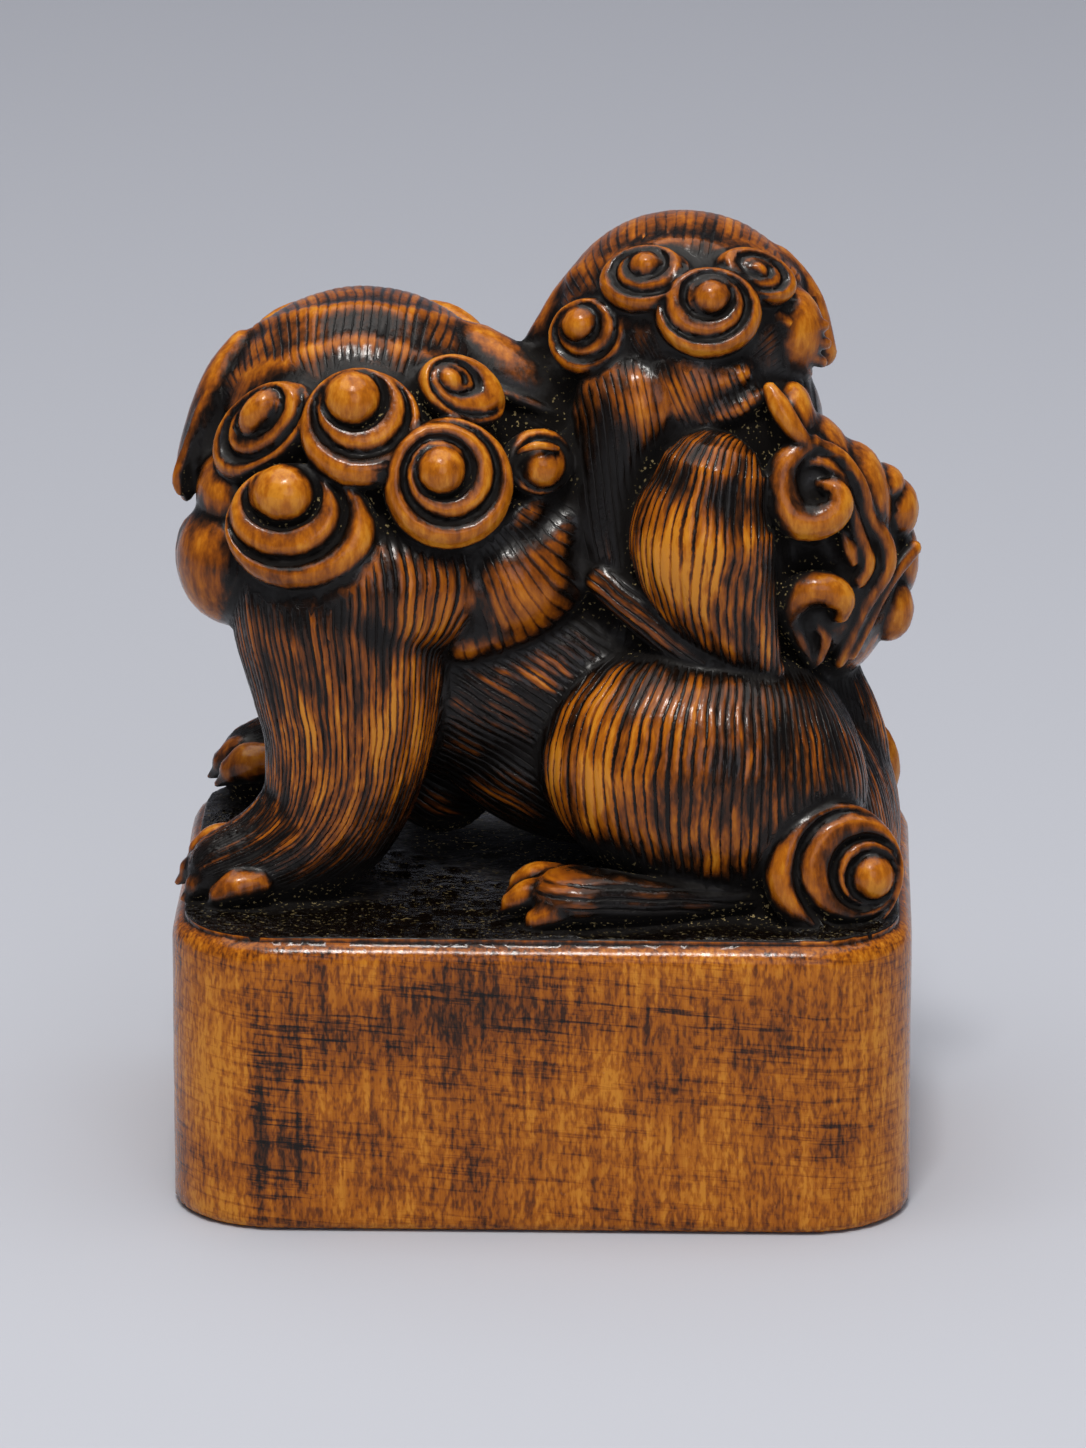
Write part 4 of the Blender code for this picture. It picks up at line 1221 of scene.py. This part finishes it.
def studio_sweep():
    """A sheet of pale paper under the netsuke that curves up behind it, with painted shade that makes it
    deeper in tone further back.
    """
    bpy.ops.object.select_all(action="DESELECT")
    bpy.ops.mesh.primitive_plane_add(size=1.6, location=(0, 0, 0))
    sweep = bpy.context.object
    sweep.name = "studio_sweep"
    bpy.ops.object.mode_set(mode="EDIT")
    bpy.ops.mesh.subdivide(number_cuts=63)
    bpy.ops.object.mode_set(mode="OBJECT")
    points = vertices_of(sweep.data)
    bend, radius = 0.32, 0.3
    past = np.maximum(points[:, 1] - bend, 0)
    turn = np.minimum(past / radius, math.pi / 2)
    points[:, 2] = radius * (1 - np.cos(turn)) + np.maximum(past - radius * math.pi / 2, 0)
    points[:, 1] = np.minimum(points[:, 1], bend) + radius * np.sin(turn)
    move_vertices(sweep.data, points)
    only(sweep)
    bpy.ops.object.shade_smooth()
    sweep.data.materials.append(paper_with_painted_shade())
    return sweep


def paper_with_painted_shade():
    """The paper of the sweep, darkened further back by painted shade."""
    # Pressed matt paper with no gloss, even and pale, in one tone, with painted shade that deepens it
    # slowly behind
    made, put = blank_material("matt_paper_painted_shade")
    depth = put(SPLIT, put("ShaderNodeTexCoord", output="Object"), output=1)
    # Painted shade: the paper darkens from front to back, standing in for the light falling off
    share = put(RANGE, depth, -0.1, 0.48, 0.0, 1.0)
    colour = put(BLEND, {0: share, 6: linear(PAPER_NEAR), 7: linear(PAPER_FAR_PAINTED_SHADE)}, output=2)
    paper = {"Base Color": colour, "Roughness": 0.9, "Specular IOR Level": 0.1}
    put("ShaderNodeOutputMaterial", put("ShaderNodeBsdfPrincipled", paper))
    return made


class NETSUKE_OT_stage(Operator):
    """Sets up the pale floor, the soft light and the camera"""

    bl_idname = "netsuke.stage"
    bl_label = "Set the stage"

    def execute(self, context):
        scene = context.scene
        level = math.cos(ELEVATION)
        back = Vector((math.sin(AZIMUTH) * level, -math.cos(AZIMUTH) * level, math.sin(ELEVATION)))
        data = bpy.data.cameras.new("camera")
        data.lens = LENS
        data.sensor_width = 36
        data.clip_start = 0.01
        camera = bpy.data.objects.new("camera", data)
        scene.collection.objects.link(camera)
        camera.location = AIM + back * DISTANCE
        camera.rotation_euler = back.to_track_quat("Z", "Y").to_euler()
        scene.camera = camera

        sweep = studio_sweep()
        for name, place, size, power, tint in STUDIO_LIGHTS:
            light = bpy.data.lights.new(name, "AREA")
            light.energy = power
            light.size = size
            light.color = linear(tint)[:3]
            lamp = bpy.data.objects.new(name, light)
            scene.collection.objects.link(lamp)
            lamp.location = place
            lamp.rotation_euler = (Vector(place) - AIM).to_track_quat("Z", "Y").to_euler()
        scene.view_settings.view_transform = "Standard"
        world = bpy.data.worlds.new("studio")
        world.use_nodes = True
        room = world.node_tree.nodes["Background"].inputs
        room["Color"].default_value = linear(WORLD_TINT)
        room["Strength"].default_value = WORLD_STRENGTH
        scene.world = world
        return {"FINISHED"}


class NETSUKE_PT_panel(Panel):
    """Lists what the script makes"""

    bl_idname = "NETSUKE_PT_panel"
    bl_label = "Netsuke"
    bl_space_type = "VIEW_3D"
    bl_region_type = "UI"
    bl_category = "Netsuke"

    def draw(self, context):
        for made in (NETSUKE_OT_carving, NETSUKE_OT_stage):
            self.layout.operator(made.bl_idname)


CLASSES = (NETSUKE_PG_sizes, NETSUKE_PG_colours, NETSUKE_OT_carving, NETSUKE_OT_stage, NETSUKE_PT_panel)


def register():
    for made in CLASSES:
        bpy.utils.register_class(made)
    bpy.types.Scene.netsuke_sizes = PointerProperty(type=NETSUKE_PG_sizes)
    bpy.types.Scene.netsuke_colours = PointerProperty(type=NETSUKE_PG_colours)


def unregister():
    del bpy.types.Scene.netsuke_sizes, bpy.types.Scene.netsuke_colours
    for made in reversed(CLASSES):
        bpy.utils.unregister_class(made)


def main():
    register()
    bpy.ops.netsuke.carving()
    bpy.ops.netsuke.stage()


if __name__ == "__main__":
    main()
